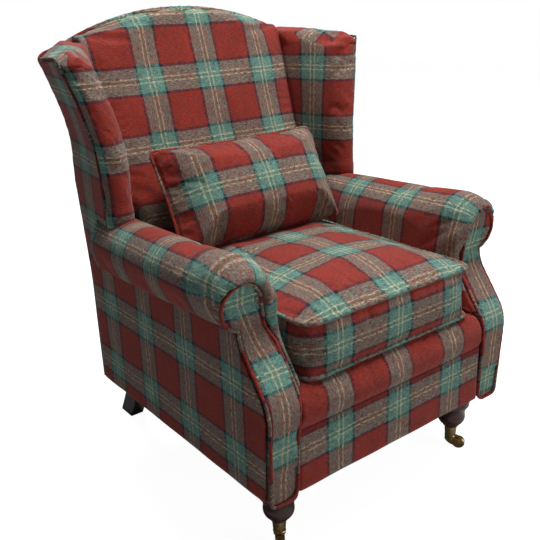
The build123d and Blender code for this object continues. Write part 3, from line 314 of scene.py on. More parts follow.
def outer_shell(mesh):
    """Keeps the largest of a mesh's separate skins, such as a cover without its hollow."""
    pairs = edges_of(mesh)
    label = np.arange(len(mesh.vertices))
    while True:
        low = np.minimum(label[pairs[:, 0]], label[pairs[:, 1]])
        fresh = label.copy()
        np.minimum.at(fresh, pairs[:, 0], low)
        np.minimum.at(fresh, pairs[:, 1], low)
        fresh = fresh[fresh]
        if (fresh == label).all():
            break
        label = fresh
    kinds = np.unique(label)
    if len(kinds) == 1:
        return mesh
    points = points_of(mesh)
    reach = [np.prod(np.ptp(points[label == k], axis=0)) for k in kinds]
    keep = label == kinds[int(np.argmax(reach))]
    place = np.cumsum(keep) - 1
    faces = [[place[v] for v in p.vertices] for p in mesh.polygons if keep[p.vertices[0]]]
    fresh = bpy.data.meshes.new(mesh.name)
    fresh.from_pydata([tuple(p * MM) for p in points[keep]], [], faces)
    return fresh


def remeshed(node, voxel):
    """Even quad skin of a node's solid."""
    obj = new_object("remesh", NODES[node].data.copy())
    modifier = obj.modifiers.new("remesh", "REMESH")
    modifier.mode = "VOXEL"
    modifier.voxel_size = voxel * MM
    return outer_shell(baked(obj))


def gridded(node, step):
    """A node's own skin cut along a grid, its edges kept crisp."""
    cut = bmesh.new()
    cut.from_mesh(NODES[node].data)
    bmesh.ops.remove_doubles(cut, verts=cut.verts, dist=0.00002)
    bmesh.ops.dissolve_limit(cut, angle_limit=math.radians(0.8), verts=cut.verts, edges=cut.edges)
    low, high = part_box(node)
    for axis in range(3):
        normal = Vector([float(i == axis) for i in range(3)])
        count = int((high[axis] - low[axis]) / (step * MM))
        for k in range(1, count + 1):
            place = low[axis] + (high[axis] - low[axis]) * k / (count + 1)
            everything = [*cut.verts, *cut.edges, *cut.faces]
            bmesh.ops.bisect_plane(cut, geom=everything, plane_co=normal * place, plane_no=normal)
    mesh = bpy.data.meshes.new(node)
    cut.to_mesh(mesh)
    cut.free()
    return mesh


def subdivided(mesh):
    obj = new_object("subdivide", mesh)
    modifier = obj.modifiers.new("subdivide", "SUBSURF")
    modifier.levels = modifier.render_levels = 1
    return baked(obj)


def normals_of(mesh):
    mesh.update()
    out = np.empty(len(mesh.vertices) * 3, np.float32)
    mesh.vertex_normals.foreach_get("vector", out)
    return out.reshape(-1, 3).astype(float)


def add_cloth(obj, slack):
    """Blender's Cloth, blown up from the inside without gravity and held by the group pinned."""
    modifier = obj.modifiers.new("cloth", "CLOTH")
    settings = modifier.settings
    settings.quality = 4
    settings.mass = 0.25
    settings.tension_stiffness = settings.compression_stiffness = 12
    settings.shear_stiffness = 6
    settings.bending_stiffness = 0.4
    settings.vertex_group_mass = "pinned"
    settings.use_pressure = True
    settings.uniform_pressure_force = PRESSURE
    settings.shrink_min = -slack
    settings.effector_weights.gravity = 0
    modifier.collision_settings.use_collision = False
    modifier.point_cache.frame_start = 1
    modifier.point_cache.frame_end = CLOTH_FRAMES


def blown(mesh, pinned, slack, cap):
    """Points of the mesh blown up as cloth between its pinned ones, each moved by cap at most."""
    start = points_of(mesh)
    obj = new_object("cloth", mesh.copy())
    group = obj.vertex_groups.new(name="pinned")
    for level in (0.25, 0.5, 0.75, 1.0):
        chosen = np.nonzero(np.abs(pinned - level) < 0.125)[0]
        group.add([int(i) for i in chosen], level, "REPLACE")
    add_cloth(obj, slack)
    for number in range(1, CLOTH_FRAMES + 1):
        SCENE.frame_set(number)
    moved = points_of(baked(obj)) - start
    SCENE.frame_set(1)
    length = np.linalg.norm(moved, axis=1, keepdims=True)
    return start + moved * np.minimum(1, cap / np.maximum(length, 1e-6))


def soft_mesh(node, voxel, rounds, pinned, slack, cap, start_in):
    """A node's solid as a relaxed, blown-up and subdivided skin.  pinned(points) gives 0 to 1."""
    mesh = remeshed(node, voxel)
    points = points_of(mesh)
    hold = pinned(points)
    points = relax(points, edges_of(mesh), rounds, 1 - 0.6 * hold)
    set_points(mesh, points)
    points = points - normals_of(mesh) * (start_in * (1 - hold))[:, None]
    set_points(mesh, points)
    set_points(mesh, blown(mesh, hold, slack, cap))
    return subdivided(mesh)


def mirrored(mesh):
    """The same skin on the other side."""
    copy = mesh.copy()
    copy.transform(Matrix.Scale(-1, 4, Vector((1, 0, 0))))
    copy.flip_normals()
    return copy


def bands(u, v, crossing, along=REPEAT_ALONG, across=REPEAT_ACROSS):
    """Tartan coordinates of places u across and v along, in millimetres."""
    return np.stack([(u - crossing[0]) / across, (v - crossing[1]) / along], axis=1)


def lay_cloth(mesh, cloth):
    """Tartan coordinates, in repeats: cloth(points, normals, centres) takes each face corner's point
    and its face's normal and centre."""
    corners = np.empty(len(mesh.loops), int)
    mesh.loops.foreach_get("vertex_index", corners)
    totals = np.empty(len(mesh.polygons), int)
    mesh.polygons.foreach_get("loop_total", totals)
    normals = np.empty(len(mesh.polygons) * 3, np.float32)
    mesh.polygon_normals.foreach_get("vector", normals)
    centres = np.empty(len(mesh.polygons) * 3, np.float32)
    mesh.polygons.foreach_get("center", centres)
    normals, centres = (np.repeat(v.reshape(-1, 3), totals, axis=0) for v in (normals, centres))
    coordinates = cloth(points_of(mesh)[corners], normals, centres / MM)
    layer = mesh.uv_layers.new(name="Cloth")
    layer.data.foreach_set("uv", coordinates.astype(np.float32).ravel())


def finish_piece(name, mesh, body, slot, nodes=()):
    """A visible piece on a body, in its slot's material."""
    mesh.materials.clear()
    mesh.materials.append(MATERIALS[slot])
    mesh.polygons.foreach_set("use_smooth", np.ones(len(mesh.polygons), bool))
    mesh.update()
    obj = new_object(name, mesh)
    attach(obj, body)
    if nodes:
        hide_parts(*nodes)
    return obj


def tube_frames(line, closed):
    """Directions ahead and aside along a line, turned as little as possible, and a closed line's twist."""
    ahead = np.roll(line, -1, axis=0) - np.roll(line, 1, axis=0)
    if not closed:
        ahead[0], ahead[-1] = line[1] - line[0], line[-1] - line[-2]
    ahead /= np.linalg.norm(ahead, axis=1, keepdims=True)
    side = np.cross(ahead[0], (0.3, 0.2, 1.0))
    aside = []
    for direction in ahead:
        side = side - direction * (side @ direction)
        side /= np.linalg.norm(side)
        aside.append(side)
    twist = 0.0
    if closed:
        twist = math.atan2(np.cross(aside[-1], aside[0]) @ ahead[0], aside[-1] @ aside[0])
    return ahead, aside, twist


def tube_faces(count, closed, weft):
    """Faces round a tube of count rings, and the tartan coordinates of their corners."""
    faces, coordinates = [], []
    for i in range(count if closed else count - 1):
        j = (i + 1) % count
        for k in range(CORD_SIDES):
            n = (k + 1) % CORD_SIDES
            faces.append((i * CORD_SIDES + k, i * CORD_SIDES + n, j * CORD_SIDES + n, j * CORD_SIDES + k))
            for ring, turn in ((i, k), (i, k + 1), (i + 1, k + 1), (i + 1, k)):
                slant = 0.02 * turn / CORD_SIDES
                coordinates.append((ring * CORD_STEP / REPEAT_ACROSS + slant, weft + slant))
    if not closed:
        first, last, end = count * CORD_SIDES, count * CORD_SIDES + 1, (count - 1) * CORD_SIDES
        for k in range(CORD_SIDES):
            n = (k + 1) % CORD_SIDES
            faces += [(first, n, k), (last, end + k, end + n)]
            coordinates += [(0, 0)] * 6
    return faces, coordinates


def clothed_mesh(name, vertices, faces, coordinates):
    mesh = bpy.data.meshes.new(name)
    mesh.from_pydata(vertices, [], faces)
    layer = mesh.uv_layers.new(name="Cloth")
    layer.data.foreach_set("uv", np.array(coordinates, np.float32).ravel())
    return mesh


def tube(line, radius, weft, closed=False):
    """Piping along a line of points, its cloth cut from one place of the weft."""
    line = resample(np.asarray(line, float), closed)
    count = len(line)
    ahead, aside, twist = tube_frames(line, closed)
    rings = []
    for i in range(count):
        turns = np.arange(CORD_SIDES) * 2 * math.pi / CORD_SIDES + twist * i / count
        other = np.cross(ahead[i], aside[i])
        uneven = radius * (1 + 0.05 * math.sin(i * 1.1) + 0.04 * math.sin(i * 0.37))
        rings.append(line[i] + uneven * (np.outer(np.cos(turns), aside[i]) + np.outer(np.sin(turns), other)))
    vertices = [tuple(p * MM) for p in np.vstack(rings)]
    if not closed:
        vertices += [tuple(line[0] * MM), tuple(line[-1] * MM)]
    return clothed_mesh("tube", vertices, *tube_faces(count, closed, weft))


def joined(meshes):
    """One mesh of several, with their Cloth coordinates."""
    vertices, faces, coordinates = [], [], []
    for mesh in meshes:
        base = len(vertices)
        vertices += [v.co[:] for v in mesh.vertices]
        faces += [[base + v for v in p.vertices] for p in mesh.polygons]
        coordinates += [d.uv[:] for d in mesh.uv_layers["Cloth"].data]
    return clothed_mesh("joined", vertices, faces, coordinates)


# ---------------------------------------------------------------------------- materials
def srgb(*values):
    linear = [v / 255 / 12.92 if v <= 10.3 else ((v / 255 + 0.055) / 1.055) ** 2.4 for v in values]
    return (*linear, 1.0)


def material(name):
    made = bpy.data.materials.new(name)
    made.use_nodes = True
    tree = made.node_tree
    return made, tree, tree.nodes["Principled BSDF"]


def add(tree, kind, **values):
    node = tree.nodes.new(kind)
    for key, value in values.items():
        setattr(node, key, value)
    return node


def arithmetic(tree, operation, first, second=None, third=None):
    node = add(tree, "ShaderNodeMath", operation=operation)
    for socket, value in zip(node.inputs, (first, second, third)):
        if value is None:
            continue
        if isinstance(value, (int, float)):
            socket.default_value = value
        else:
            tree.links.new(value, socket)
    return node.outputs[0]


def noise_value(tree, coordinates, scale, detail=2.0):
    node = add(tree, "ShaderNodeTexNoise")
    node.inputs["Scale"].default_value = scale
    node.inputs["Detail"].default_value = detail
    tree.links.new(coordinates, node.inputs["Vector"])
    return node.outputs["Fac"]


def noise_about_zero(tree, coordinates, scale, detail=2.0):
    return arithmetic(tree, "SUBTRACT", noise_value(tree, coordinates, scale, detail), 0.5)


def stretched(tree, coordinates, scale):
    node = add(tree, "ShaderNodeMapping")
    node.inputs["Scale"].default_value = scale
    tree.links.new(coordinates, node.inputs[0])
    return node.outputs[0]


def add_bump(tree, shader, height, strength, distance):
    node = add(tree, "ShaderNodeBump")
    node.inputs["Strength"].default_value = strength
    node.inputs["Distance"].default_value = distance
    tree.links.new(height, node.inputs["Height"])
    tree.links.new(node.outputs[0], shader.inputs["Normal"])


RED = srgb(154, 54, 43)
TEAL = srgb(108, 148, 135)
NAVY = srgb(24, 42, 58)
CREAM = srgb(206, 202, 174)
GREEN = srgb(96, 136, 112)
# Half of the sett, from its middle: where each stripe ends, in repeats, and its colour
STRIPES = [(0.022, GREEN), (0.045, CREAM), (0.1875, TEAL), (0.2325, NAVY), (0.5, RED)]
STRIPE_BLUR = 0.0035
# Noise stretched along the threads, and the wool's other noise, per metre
WEFT_GRAIN = (16.0, 95.0, 1.0)
WARP_GRAIN = (95.0, 16.0, 1.0)
SWAY_SCALE = 9.0
WORN_SCALE = 22.0
FLECK_SCALE = 260.0
FIBRE_SCALE = 700.0


def stripe_colour(tree, coordinate):
    """Colour of a thread from its place in the sett."""
    wrapped = arithmetic(tree, "FRACT", arithmetic(tree, "ADD", coordinate, 100.5))
    place = arithmetic(tree, "ABSOLUTE", arithmetic(tree, "SUBTRACT", wrapped, 0.5))
    ramp = add(tree, "ShaderNodeValToRGB")
    ramp.color_ramp.interpolation = "LINEAR"
    stops = ramp.color_ramp.elements
    stops[0].position, stops[0].color = 0.0, STRIPES[0][1]
    stops[1].position, stops[1].color = 0.5, STRIPES[-1][1]
    for (edge, colour), (_, after) in zip(STRIPES[:-1], STRIPES[1:]):
        stops.new(edge - STRIPE_BLUR).color = colour
        stops.new(edge + STRIPE_BLUR).color = after
    tree.links.new(place, ramp.inputs[0])
    return ramp.outputs[0]


def woven(tree, where, uv, weft_grain, warp_grain):
    """Warp and weft colours, mixed thread by thread."""
    split = add(tree, "ShaderNodeSeparateXYZ")
    tree.links.new(uv, split.inputs[0])
    sway = arithmetic(tree, "MULTIPLY", noise_about_zero(tree, where, SWAY_SCALE), 0.03)
    sway = arithmetic(tree, "MULTIPLY_ADD", arithmetic(tree, "ADD", weft_grain, warp_grain), 0.03, sway)
    warp, weft = (stripe_colour(tree, arithmetic(tree, "ADD", split.outputs[i], sway)) for i in (0, 1))
    share = arithmetic(tree, "MULTIPLY_ADD", arithmetic(tree, "SUBTRACT", weft_grain, warp_grain), 2.0, 0.5)
    mix = add(tree, "ShaderNodeMix", data_type="RGBA", clamp_factor=True)
    for socket, value in ((0, share), (6, warp), (7, weft)):
        tree.links.new(value, mix.inputs[socket])
    return mix.outputs[2]


def tartan(name, shade=1.0):
    """Brushed wool woven in the sett, with light and dark threads, worn places and flecks."""
    made, tree, shader = material(name)
    where = add(tree, "ShaderNodeTexCoord").outputs["Object"]
    uv = add(tree, "ShaderNodeUVMap", uv_map="Cloth").outputs[0]
    weft_grain, warp_grain = (noise_about_zero(tree, stretched(tree, uv, scale), 1.0, 3.0)
                              for scale in (WEFT_GRAIN, WARP_GRAIN))
    worn = noise_about_zero(tree, where, WORN_SCALE, 4.0)
    fleck = noise_about_zero(tree, where, FLECK_SCALE, 3.0)
    mottle = shade
    for pattern, amount in ((worn, 0.5), (weft_grain, 1.9), (warp_grain, 0.8), (fleck, 1.9)):
        mottle = arithmetic(tree, "MULTIPLY_ADD", pattern, amount, mottle)
    value = add(tree, "ShaderNodeHueSaturation")
    tree.links.new(woven(tree, where, uv, weft_grain, warp_grain), value.inputs["Color"])
    tree.links.new(mottle, value.inputs["Value"])
    tree.links.new(arithmetic(tree, "MULTIPLY_ADD", fleck, 0.6, 1.0), value.inputs["Saturation"])
    tree.links.new(value.outputs[0], shader.inputs["Base Color"])
    shader.inputs["Roughness"].default_value = 0.92
    shader.inputs["Specular IOR Level"].default_value = 0.25
    shader.inputs["Sheen Weight"].default_value = 0.18
    shader.inputs["Sheen Roughness"].default_value = 0.5
    add_bump(tree, shader, noise_value(tree, where, FIBRE_SCALE, 3.0), 0.35, 0.0008)
    return made


def plain(name, colour, roughness, metallic=0.0, grain=0.25, scale=(30, 30, 30), coat=0.0, bump=0.0):
    """One colour with a little procedural variation along stretched noise."""
    made, tree, shader = material(name)
    where = add(tree, "ShaderNodeTexCoord").outputs["Object"]
    pattern = noise_value(tree, stretched(tree, where, scale), 1.0, 5.0)
    uneven = arithmetic(tree, "SUBTRACT", pattern, 0.5)
    value = add(tree, "ShaderNodeHueSaturation")
    value.inputs["Color"].default_value = colour
    tree.links.new(arithmetic(tree, "MULTIPLY_ADD", uneven, 2 * grain, 1.0), value.inputs["Value"])
    tree.links.new(value.outputs[0], shader.inputs["Base Color"])
    tree.links.new(arithmetic(tree, "MULTIPLY_ADD", uneven, 0.2, roughness), shader.inputs["Roughness"])
    shader.inputs["Metallic"].default_value = metallic
    shader.inputs["Coat Weight"].default_value = coat
    if bump:
        add_bump(tree, shader, pattern, bump, 0.0005)
    return made


FINISHES = {
    "frame_hardwood": dict(colour=srgb(196, 160, 112), roughness=0.65, grain=0.3, scale=(60, 60, 8)),
    "mahogany_polish": dict(colour=srgb(74, 38, 30), roughness=0.28, grain=0.5, scale=(90, 90, 14), coat=0.5),
    "dark_stained_leg": dict(colour=srgb(34, 24, 20), roughness=0.35, grain=0.4, scale=(90, 90, 12),
                             coat=0.3),
    "castor_brass": dict(colour=srgb(214, 186, 128), roughness=0.26, metallic=1.0, grain=0.15,
                         scale=(120, 120, 120)),
    "fixing_steel": dict(colour=srgb(150, 150, 148), roughness=0.4, metallic=1.0, grain=0.1),
    "spring_steel": dict(colour=srgb(92, 94, 98), roughness=0.38, metallic=1.0, grain=0.15),
    "jute_webbing": dict(colour=srgb(150, 120, 84), roughness=0.9, grain=0.4, scale=(400, 400, 400),
                         bump=0.6),
    "bottoming_cloth": dict(colour=srgb(24, 24, 26), roughness=0.92, grain=0.3, scale=(500, 500, 500),
                            bump=0.4),
    "cushion_filling": dict(colour=srgb(226, 216, 190), roughness=0.9, grain=0.12, scale=(80, 80, 80),
                            bump=0.4),
    "deck_hessian": dict(colour=srgb(120, 96, 70), roughness=0.92, grain=0.35, scale=(350, 350, 350),
                         bump=0.6),
}
MATERIALS = {"tartan_wool": tartan("tartan_wool"), "tartan_piping": tartan("tartan_piping", 0.95)}
MATERIALS |= {name: plain(name, **finish) for name, finish in FINISHES.items()}


def paint_cad_nodes():
    """Procedural finishes on the pieces that keep their CAD mesh."""
    for entry in frame["record"]["subparts"]:
        node = NODES[entry["node"]]
        if not node.material_slots:
            node.data.materials.append(None)
        for holder in node.material_slots:
            holder.link = "OBJECT"
            holder.material = MATERIALS[entry["material_slot"]]


# ---------------------------------------------------------------------------- cushions
def rectangle(half, low, high, corner):
    """Closed outline with rounded corners, from the middle of its lower side."""
    line = [(0, low), (half, low), (half, high), (-half, high), (-half, low), (0, low)]
    return resample(rounded(line, [corner] * 4)[:-1], closed=True)


def seat_outline():
    """Plan outline of the seat cushion at its piping, drawn in at the front and the rear."""
    low, high = (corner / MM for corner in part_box("seat_cushion_piping"))
    half = high.x - PIPING_RADIUS
    front, rear = low.y + PIPING_RADIUS, high.y - PIPING_RADIUS
    x, y = rectangle(half, front, rear, SEAT_CORNER).T
    middle = (front + rear) / 2
    pull = SEAT_DRAW * (1 - (x / half) ** 2) * (np.abs(y - middle) > (rear - front) / 2 - 2)
    return np.stack([x, y - np.sign(y - middle) * pull], axis=1)


def seat_cloth(points, normals, centres):
    """Bands run over the top and down the border, whose two sides have columns of their own."""
    x, y, z = points.T
    nx, ny, nz = np.abs(normals.T)
    top = centres[:, 2] > SEAT_SEAM + 1
    under = (centres[:, 2] < SEAT_BOTTOM + 6) & (nz > 0.7)
    side = ~top & ~under & (nx > ny)
    level = bands(x, y, SEAT_CROSSING, SEAT_REPEAT_ALONG)
    column = np.where(side, SEAT_SIDE_COLUMN, SEAT_CROSSING[0])
    border = bands(np.where(side, y, x), z, (column, SEAT_BORDER_ROW))
    return np.where((top | under)[:, None], level, border)


def seat_cushion():
    low, high = (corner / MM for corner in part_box("seat_cushion_cover"))

    def pinned(points):
        x, y, z = points.T
        edge = np.minimum.reduce([x - low.x, high.x - x, y - low.y, high.y - y])
        seam = (np.abs(z - SEAT_SEAM) < 5) & (edge < 14)
        return np.where(seam | (z < SEAT_BOTTOM + 9), 1.0, 0.0)

    mesh = soft_mesh("seat_cushion_cover", 6.0, 5, pinned, slack=0.012, cap=10.0, start_in=3.0)
    points = points_of(mesh)
    front = spread(-330, -385, points[:, 1]) * spread(SEAT_SEAM - 4, SEAT_SEAM + 4, points[:, 2])
    points[:, 2] += ripple(points, 55.0, 1.0) * 1.6 * front
    points[:, 2] += ripple(points, 130.0, 2.0) * 2.2 * spread(SEAT_SEAM + 4, SEAT_SEAM + 26, points[:, 2])
    set_points(mesh, points)
    lay_cloth(mesh, seat_cloth)
    finish_piece("seat_cushion", mesh, "loose_seat_cushion", "tartan_wool", ["seat_cushion_cover"])


def seat_cushion_cords():
    """The upper ring wavers a little; the lower one lies on the deck and only rises."""
    line = seat_outline()
    wave = 0.8 * np.sin(line[:, 0] * 0.045) * np.cos(line[:, 1] * 0.03)
    heights = (SEAT_SEAM + wave, SEAT_BOTTOM + PIPING_RADIUS + np.maximum(wave, 0))
    rings = [tube(np.column_stack([line, z]), PIPING_RADIUS, SEAT_CORD_WEFT, closed=True) for z in heights]
    finish_piece("seat_cushion_cord", joined(rings), "loose_seat_cushion", "tartan_piping",
                 ["seat_cushion_piping"])


def scatter_axes():
    up = np.array((0.0, math.sin(SCATTER_LEAN), math.cos(SCATTER_LEAN)))
    out = np.array((0.0, -math.cos(SCATTER_LEAN), math.sin(SCATTER_LEAN)))
    return up, out


def scatter_local(points):
    """Across, up and out of the scatter cushion's seam plane."""
    up, out = scatter_axes()
    away = points - np.array(SCATTER_CENTRE)
    return np.stack([away[:, 0], away @ up, away @ out], axis=1)


def scatter_cushion():
    def pinned(points):
        across, up, out = np.abs(scatter_local(points).T)
        edge = np.minimum(SCATTER_HALF - across, SCATTER_HIGH - up)
        return np.where((out < 6) & (edge < 12), 1.0, 0.0)

    def cloth(points, normals, centres):
        across, up, out = scatter_local(points).T
        return bands(across, up, SCATTER_CROSSING)

    mesh = soft_mesh("scatter_cushion_cover", 5.0, 4, pinned, slack=0.03, cap=9.0, start_in=4.0)
    lay_cloth(mesh, cloth)
    finish_piece("scatter_cushion", mesh, "loose_scatter_cushion", "tartan_wool", ["scatter_cushion_cover"])


def scatter_cushion_cord():
    half, high = SCATTER_HALF, SCATTER_HIGH
    x, rise = rectangle(half, -high, high, SCATTER_CORNER).T
    pull_x = SCATTER_DRAW * (1 - (rise / high) ** 2) * (np.abs(x) > half - 2)
    pull_y = SCATTER_DRAW * (1 - (x / half) ** 2) * (np.abs(rise) > high - 2)
    x, rise = x - np.sign(x) * pull_x, rise - np.sign(rise) * pull_y
    line = np.array(SCATTER_CENTRE) + np.outer(x, (1, 0, 0)) + np.outer(rise, scatter_axes()[0])
    mesh = tube(line, SCATTER_PIPING_RADIUS, SCATTER_CORD_WEFT, closed=True)
    finish_piece("scatter_cushion_cord", mesh, "loose_scatter_cushion", "tartan_piping",
                 ["scatter_cushion_piping"])


def fillings():
    """Foam and fibre inside the two loose covers."""
    for node, body in (("seat_cushion_core", "loose_seat_cushion"),
                       ("scatter_cushion_filling", "loose_scatter_cushion")):
        mesh = remeshed(node, 11.0)
        set_points(mesh, relax(points_of(mesh), edges_of(mesh), 4))
        set_points(mesh, points_of(mesh) - normals_of(mesh) * 2.0)
        finish_piece(node + "_soft", mesh, body, "cushion_filling", [node])


# ---------------------------------------------------------------------------- back
def inside_back():
    def pinned(points):
        x, y, z = points.T
        # behind the top, behind the wings and behind the seat cushion
        hidden = (y - inside_back_y(z) > 60) | (np.abs(x) > INSIDE_BACK_REACH) | (z < 470)
        return np.where(hidden, 1.0, 0.0)

    def cloth(points, normals, centres):
        x, y, z = points.T
        over = np.maximum(0, y - inside_back_y(z))
        return bands(x, z + over, BACK_CROSSING, BACK_REPEAT_ALONG)

    mesh = soft_mesh("inside_back", 7.0, 7, pinned, slack=0.01, cap=14.0, start_in=3.0)
    points = points_of(mesh)
    showing = spread(480, 620, points[:, 2]) * spread(300, 240, np.abs(points[:, 0]))
    points[:, 1] += ripple(points, 210.0, 3.0) * 2.5 * showing
    set_points(mesh, points)
    lay_cloth(mesh, cloth)
    finish_piece("inside_back_pad", mesh, "chair", "tartan_wool", ["inside_back"])


# ---------------------------------------------------------------------------- arms and wings
def both_sides(name, mesh, cloths, node):
    for side, skin in (("right", mesh), ("left", mirrored(mesh))):
        lay_cloth(skin, cloths[side])
        finish_piece(f"{name}_{side}", skin, "chair", "tartan_wool", [f"{node}_{side}"])


def cords_on_both_sides(name, line, radius, weft, node=None):
    """Piping on the right and the left: the closed ring of a node, or an open seam without one."""
    for side, sign in (("right", 1), ("left", -1)):
        mesh = tube(line * (sign, 1, 1), radius, weft, closed=node is not None)
        finish_piece(f"{name}_{side}", mesh, "chair", "tartan_piping", [f"{node}_{side}"] if node else [])


def roll_run(points):
    """Distance over the arm from the floor: up the inside, round the roll."""
    x, z = np.abs(points[:, 0]), points[:, 2]
    turn = np.arctan2(z - ROLL_CENTRE[1], x - ROLL_CENTRE[0])
    turn = np.where(turn < -math.pi / 2, turn + 2 * math.pi, turn)
    over = ROLL_CENTRE[1] + ROLL_RADIUS * (math.pi - turn)
    return np.where((z < ROLL_CENTRE[1]) & (x < ROLL_CENTRE[0]), z, over)


def arm_cloth(column, row, across, gather, along_front):
    """The dome in front takes up less cloth than it covers: gather is its share."""
    def cloth(points, normals, centres):
        y = points[:, 1]
        along = REPEAT_ALONG + (along_front - REPEAT_ALONG) * spread(*ROLL_FRONT, y)
        y = np.where(y < ROLL_DOME, ROLL_DOME + (y - ROLL_DOME) * gather, y)
        return bands(y, roll_run(points), (column, row), along, across)
    return cloth


def gathered(points):
    """Small folds round the front of the roll, where its cloth is drawn in to the facing."""
    x, y, z = points.T
    away = np.hypot(x - HEAD[0], z - HEAD[1])
    turn = np.arctan2(z - HEAD[1], x - HEAD[0])
    near = spread(78, 48, away) * spread(facing_y(z) + 34, facing_y(z) + 2, y) * (z > 500)
    folds = near * 1.3 * np.sin(turn * GATHERS + 1.5 * np.sin(turn * 3))
    return np.stack([x, y + folds, z], axis=1)


def arm_pads():
    def pinned(points):
        x, y, z = points.T
        # below the seat cushion, behind the outside arm and behind the wing
        hidden = (z < 400) | ((z < 520) & (x > 300)) | (y > 205)
        return np.where(hidden | (y < facing_y(z) + 6), 1.0, 0.0)

    mesh = soft_mesh("arm_pad_right", 6.5, 7, pinned, slack=0.006, cap=12.0, start_in=3.0)
    points = points_of(mesh)
    x, y, z = points.T
    rim = spread(facing_y(z) + 40, facing_y(z) + 10, y) * spread(366, 380, x)
    points = relax(points, edges_of(mesh), 60, rim)
    points[:, 2] -= ROLL_LAP * spread(545, 518, points[:, 2]) * spread(325, 345, points[:, 0])
    set_points(mesh, gathered(points))
    cloths = {side: arm_cloth(*place) for side, place in ARM_CLOTHS.items()}
    both_sides("arm_roll", mesh, cloths, "arm_pad")


def facing_cloth(columns, row, along):
    def cloth(points, normals, centres):
        z = points[:, 2]
        column = np.interp(z, FACING_COLUMN_HEIGHTS, columns)
        return bands(np.abs(points[:, 0]), facing_run(z), (column, facing_run(row)), along)
    return cloth


def facings():
    outline = facing_outline()
    mesh = gridded("arm_facing_right", 6.0)
    points = points_of(mesh)
    flat = points[:, [0, 2]]
    gap = np.min(np.linalg.norm(flat[:, None, :] - outline[None, ::2, :], axis=2), axis=1)
    front = points[:, 1] < facing_y(points[:, 2]) + 2
    bulge = 6.0 - 5.0 * spread(500, 530, points[:, 2])
    points[:, 1] -= np.where(front, bulge * (1 - np.exp(-gap / 9.0)) - 2.0, 0)
    set_points(mesh, points)
    cloths = {side: facing_cloth(*place) for side, place in FACING_CLOTHS.items()}
    both_sides("facing", mesh, cloths, "arm_facing")
    x, z = resample(outline).T
    line = np.column_stack([x, facing_y(z) - 0.5, z])
    cords_on_both_sides("facing_cord", line, FACING_PIPING_RADIUS, FACING_CORD_WEFT, "facing_piping")


def nose_at(z):
    return np.interp(z, NOSE_HEIGHTS, NOSE_X), np.interp(z, NOSE_HEIGHTS, NOSE_Y)


def wing_run(points):
    """Distance round a wing's nose at a level: positive on the inside face, negative outside."""
    x, y, z = np.abs(points[:, 0]), points[:, 1], points[:, 2]
    nose_x, nose_y = nose_at(z)
    turn = np.arctan2(x - nose_x, nose_y - y)
    quarter = NOSE_RADIUS * math.pi / 2
    behind = quarter + np.maximum(0, y - nose_y)
    return np.where(y < nose_y, -NOSE_RADIUS * turn, np.where(x < nose_x, behind, -behind))


def wing_cloth(crossing):
    """Bands round the nose and, on the cap, bands of its own."""
    def cloth(points, normals, centres):
        cap = (normals[:, 2] > 0.6) & (centres[:, 2] > CAP_HEIGHT) & (centres[:, 1] > 200)
        sides = bands(wing_run(points), points[:, 2], crossing, BACK_REPEAT_ALONG)
        top = bands(np.abs(points[:, 0]), points[:, 1], CAP_CROSSING, BACK_REPEAT_ALONG)
        return np.where(cap[:, None], top, sides)
    return cloth


def wings():
    def pinned(points):
        x, y, z = points.T
        rear = y > outside_back_y(z) - 14
        outer = (x > np.interp(z, NOSE_HEIGHTS, REAR_X) - 10) & (y > nose_at(z)[1] + 8)
        return np.where(rear | (x < WING_INNER) | outer | (z < WING_FOOT), 1.0, 0.0)

    mesh = soft_mesh("wing_pad_right", 6.0, 6, pinned, slack=0.006, cap=9.0, start_in=2.0)
    points = points_of(mesh)
    head = spread(960, 990, points[:, 2])
    points = relax(points, edges_of(mesh), 4, head)
    points += cap_dome(points) * head[:, None]
    points = relax(points, edges_of(mesh), 8, head)
    foot = spread(690, 650, points[:, 2]) * spread(560, 600, points[:, 2]) * spread(250, 220, points[:, 1])
    points[:, 2] -= WING_FOOT_LAP * foot
    set_points(mesh, eased_corner(points))
    cloths = {side: wing_cloth(crossing) for side, crossing in WING_CROSSINGS.items()}
    both_sides("wing", mesh, cloths, "wing_pad")


def cap_dome(points):
    """Moves of a wing's stuffed cap: it rises between its piped edge and its ridge and meets the panel."""
    share = np.clip((points[:, 1] - CAP_FRONT) / (CAP_REAR - CAP_FRONT), 0, 1)
    outer = CAP_OUTER[0] + (CAP_OUTER[1] - CAP_OUTER[0]) * share
    ridge = CAP_RIDGE[0] + (CAP_RIDGE[1] - CAP_RIDGE[0]) * share
    across = np.clip((outer - points[:, 0]) / (outer - ridge), 0, 1)
    behind = spread(150, 195, points[:, 1])
    edge = spread(0.35, 0.08, across) * behind
    rise = CAP_RISE * np.sin(math.pi * across) * behind + 3.0 * edge
    rise -= NOSE_DROP * spread(330, 165, points[:, 1])
    inner = spread(0.75, 1.0, across) * spread(290, 340, points[:, 1])
    return np.stack([CAP_LAP * (edge - inner), np.zeros_like(edge), rise], axis=1)


def eased_corner(points):
    """Rounds the outer top corner that the wing and the outside back share, at the rear."""
    out, up = np.abs(points[:, 0]) - CORNER[0], points[:, 2] - CORNER[1]
    away = np.hypot(out, up)
    outside = (out > 0) & (up > 0) & (away > CORNER_RADIUS)
    share = 1 + (CORNER_RADIUS / np.maximum(away, 1) - 1) * spread(325, 380, points[:, 1])
    eased = points.copy()
    eased[outside, 0] = (np.sign(points[:, 0]) * (CORNER[0] + out * share))[outside]
    eased[outside, 2] = (CORNER[1] + up * share)[outside]
    return eased


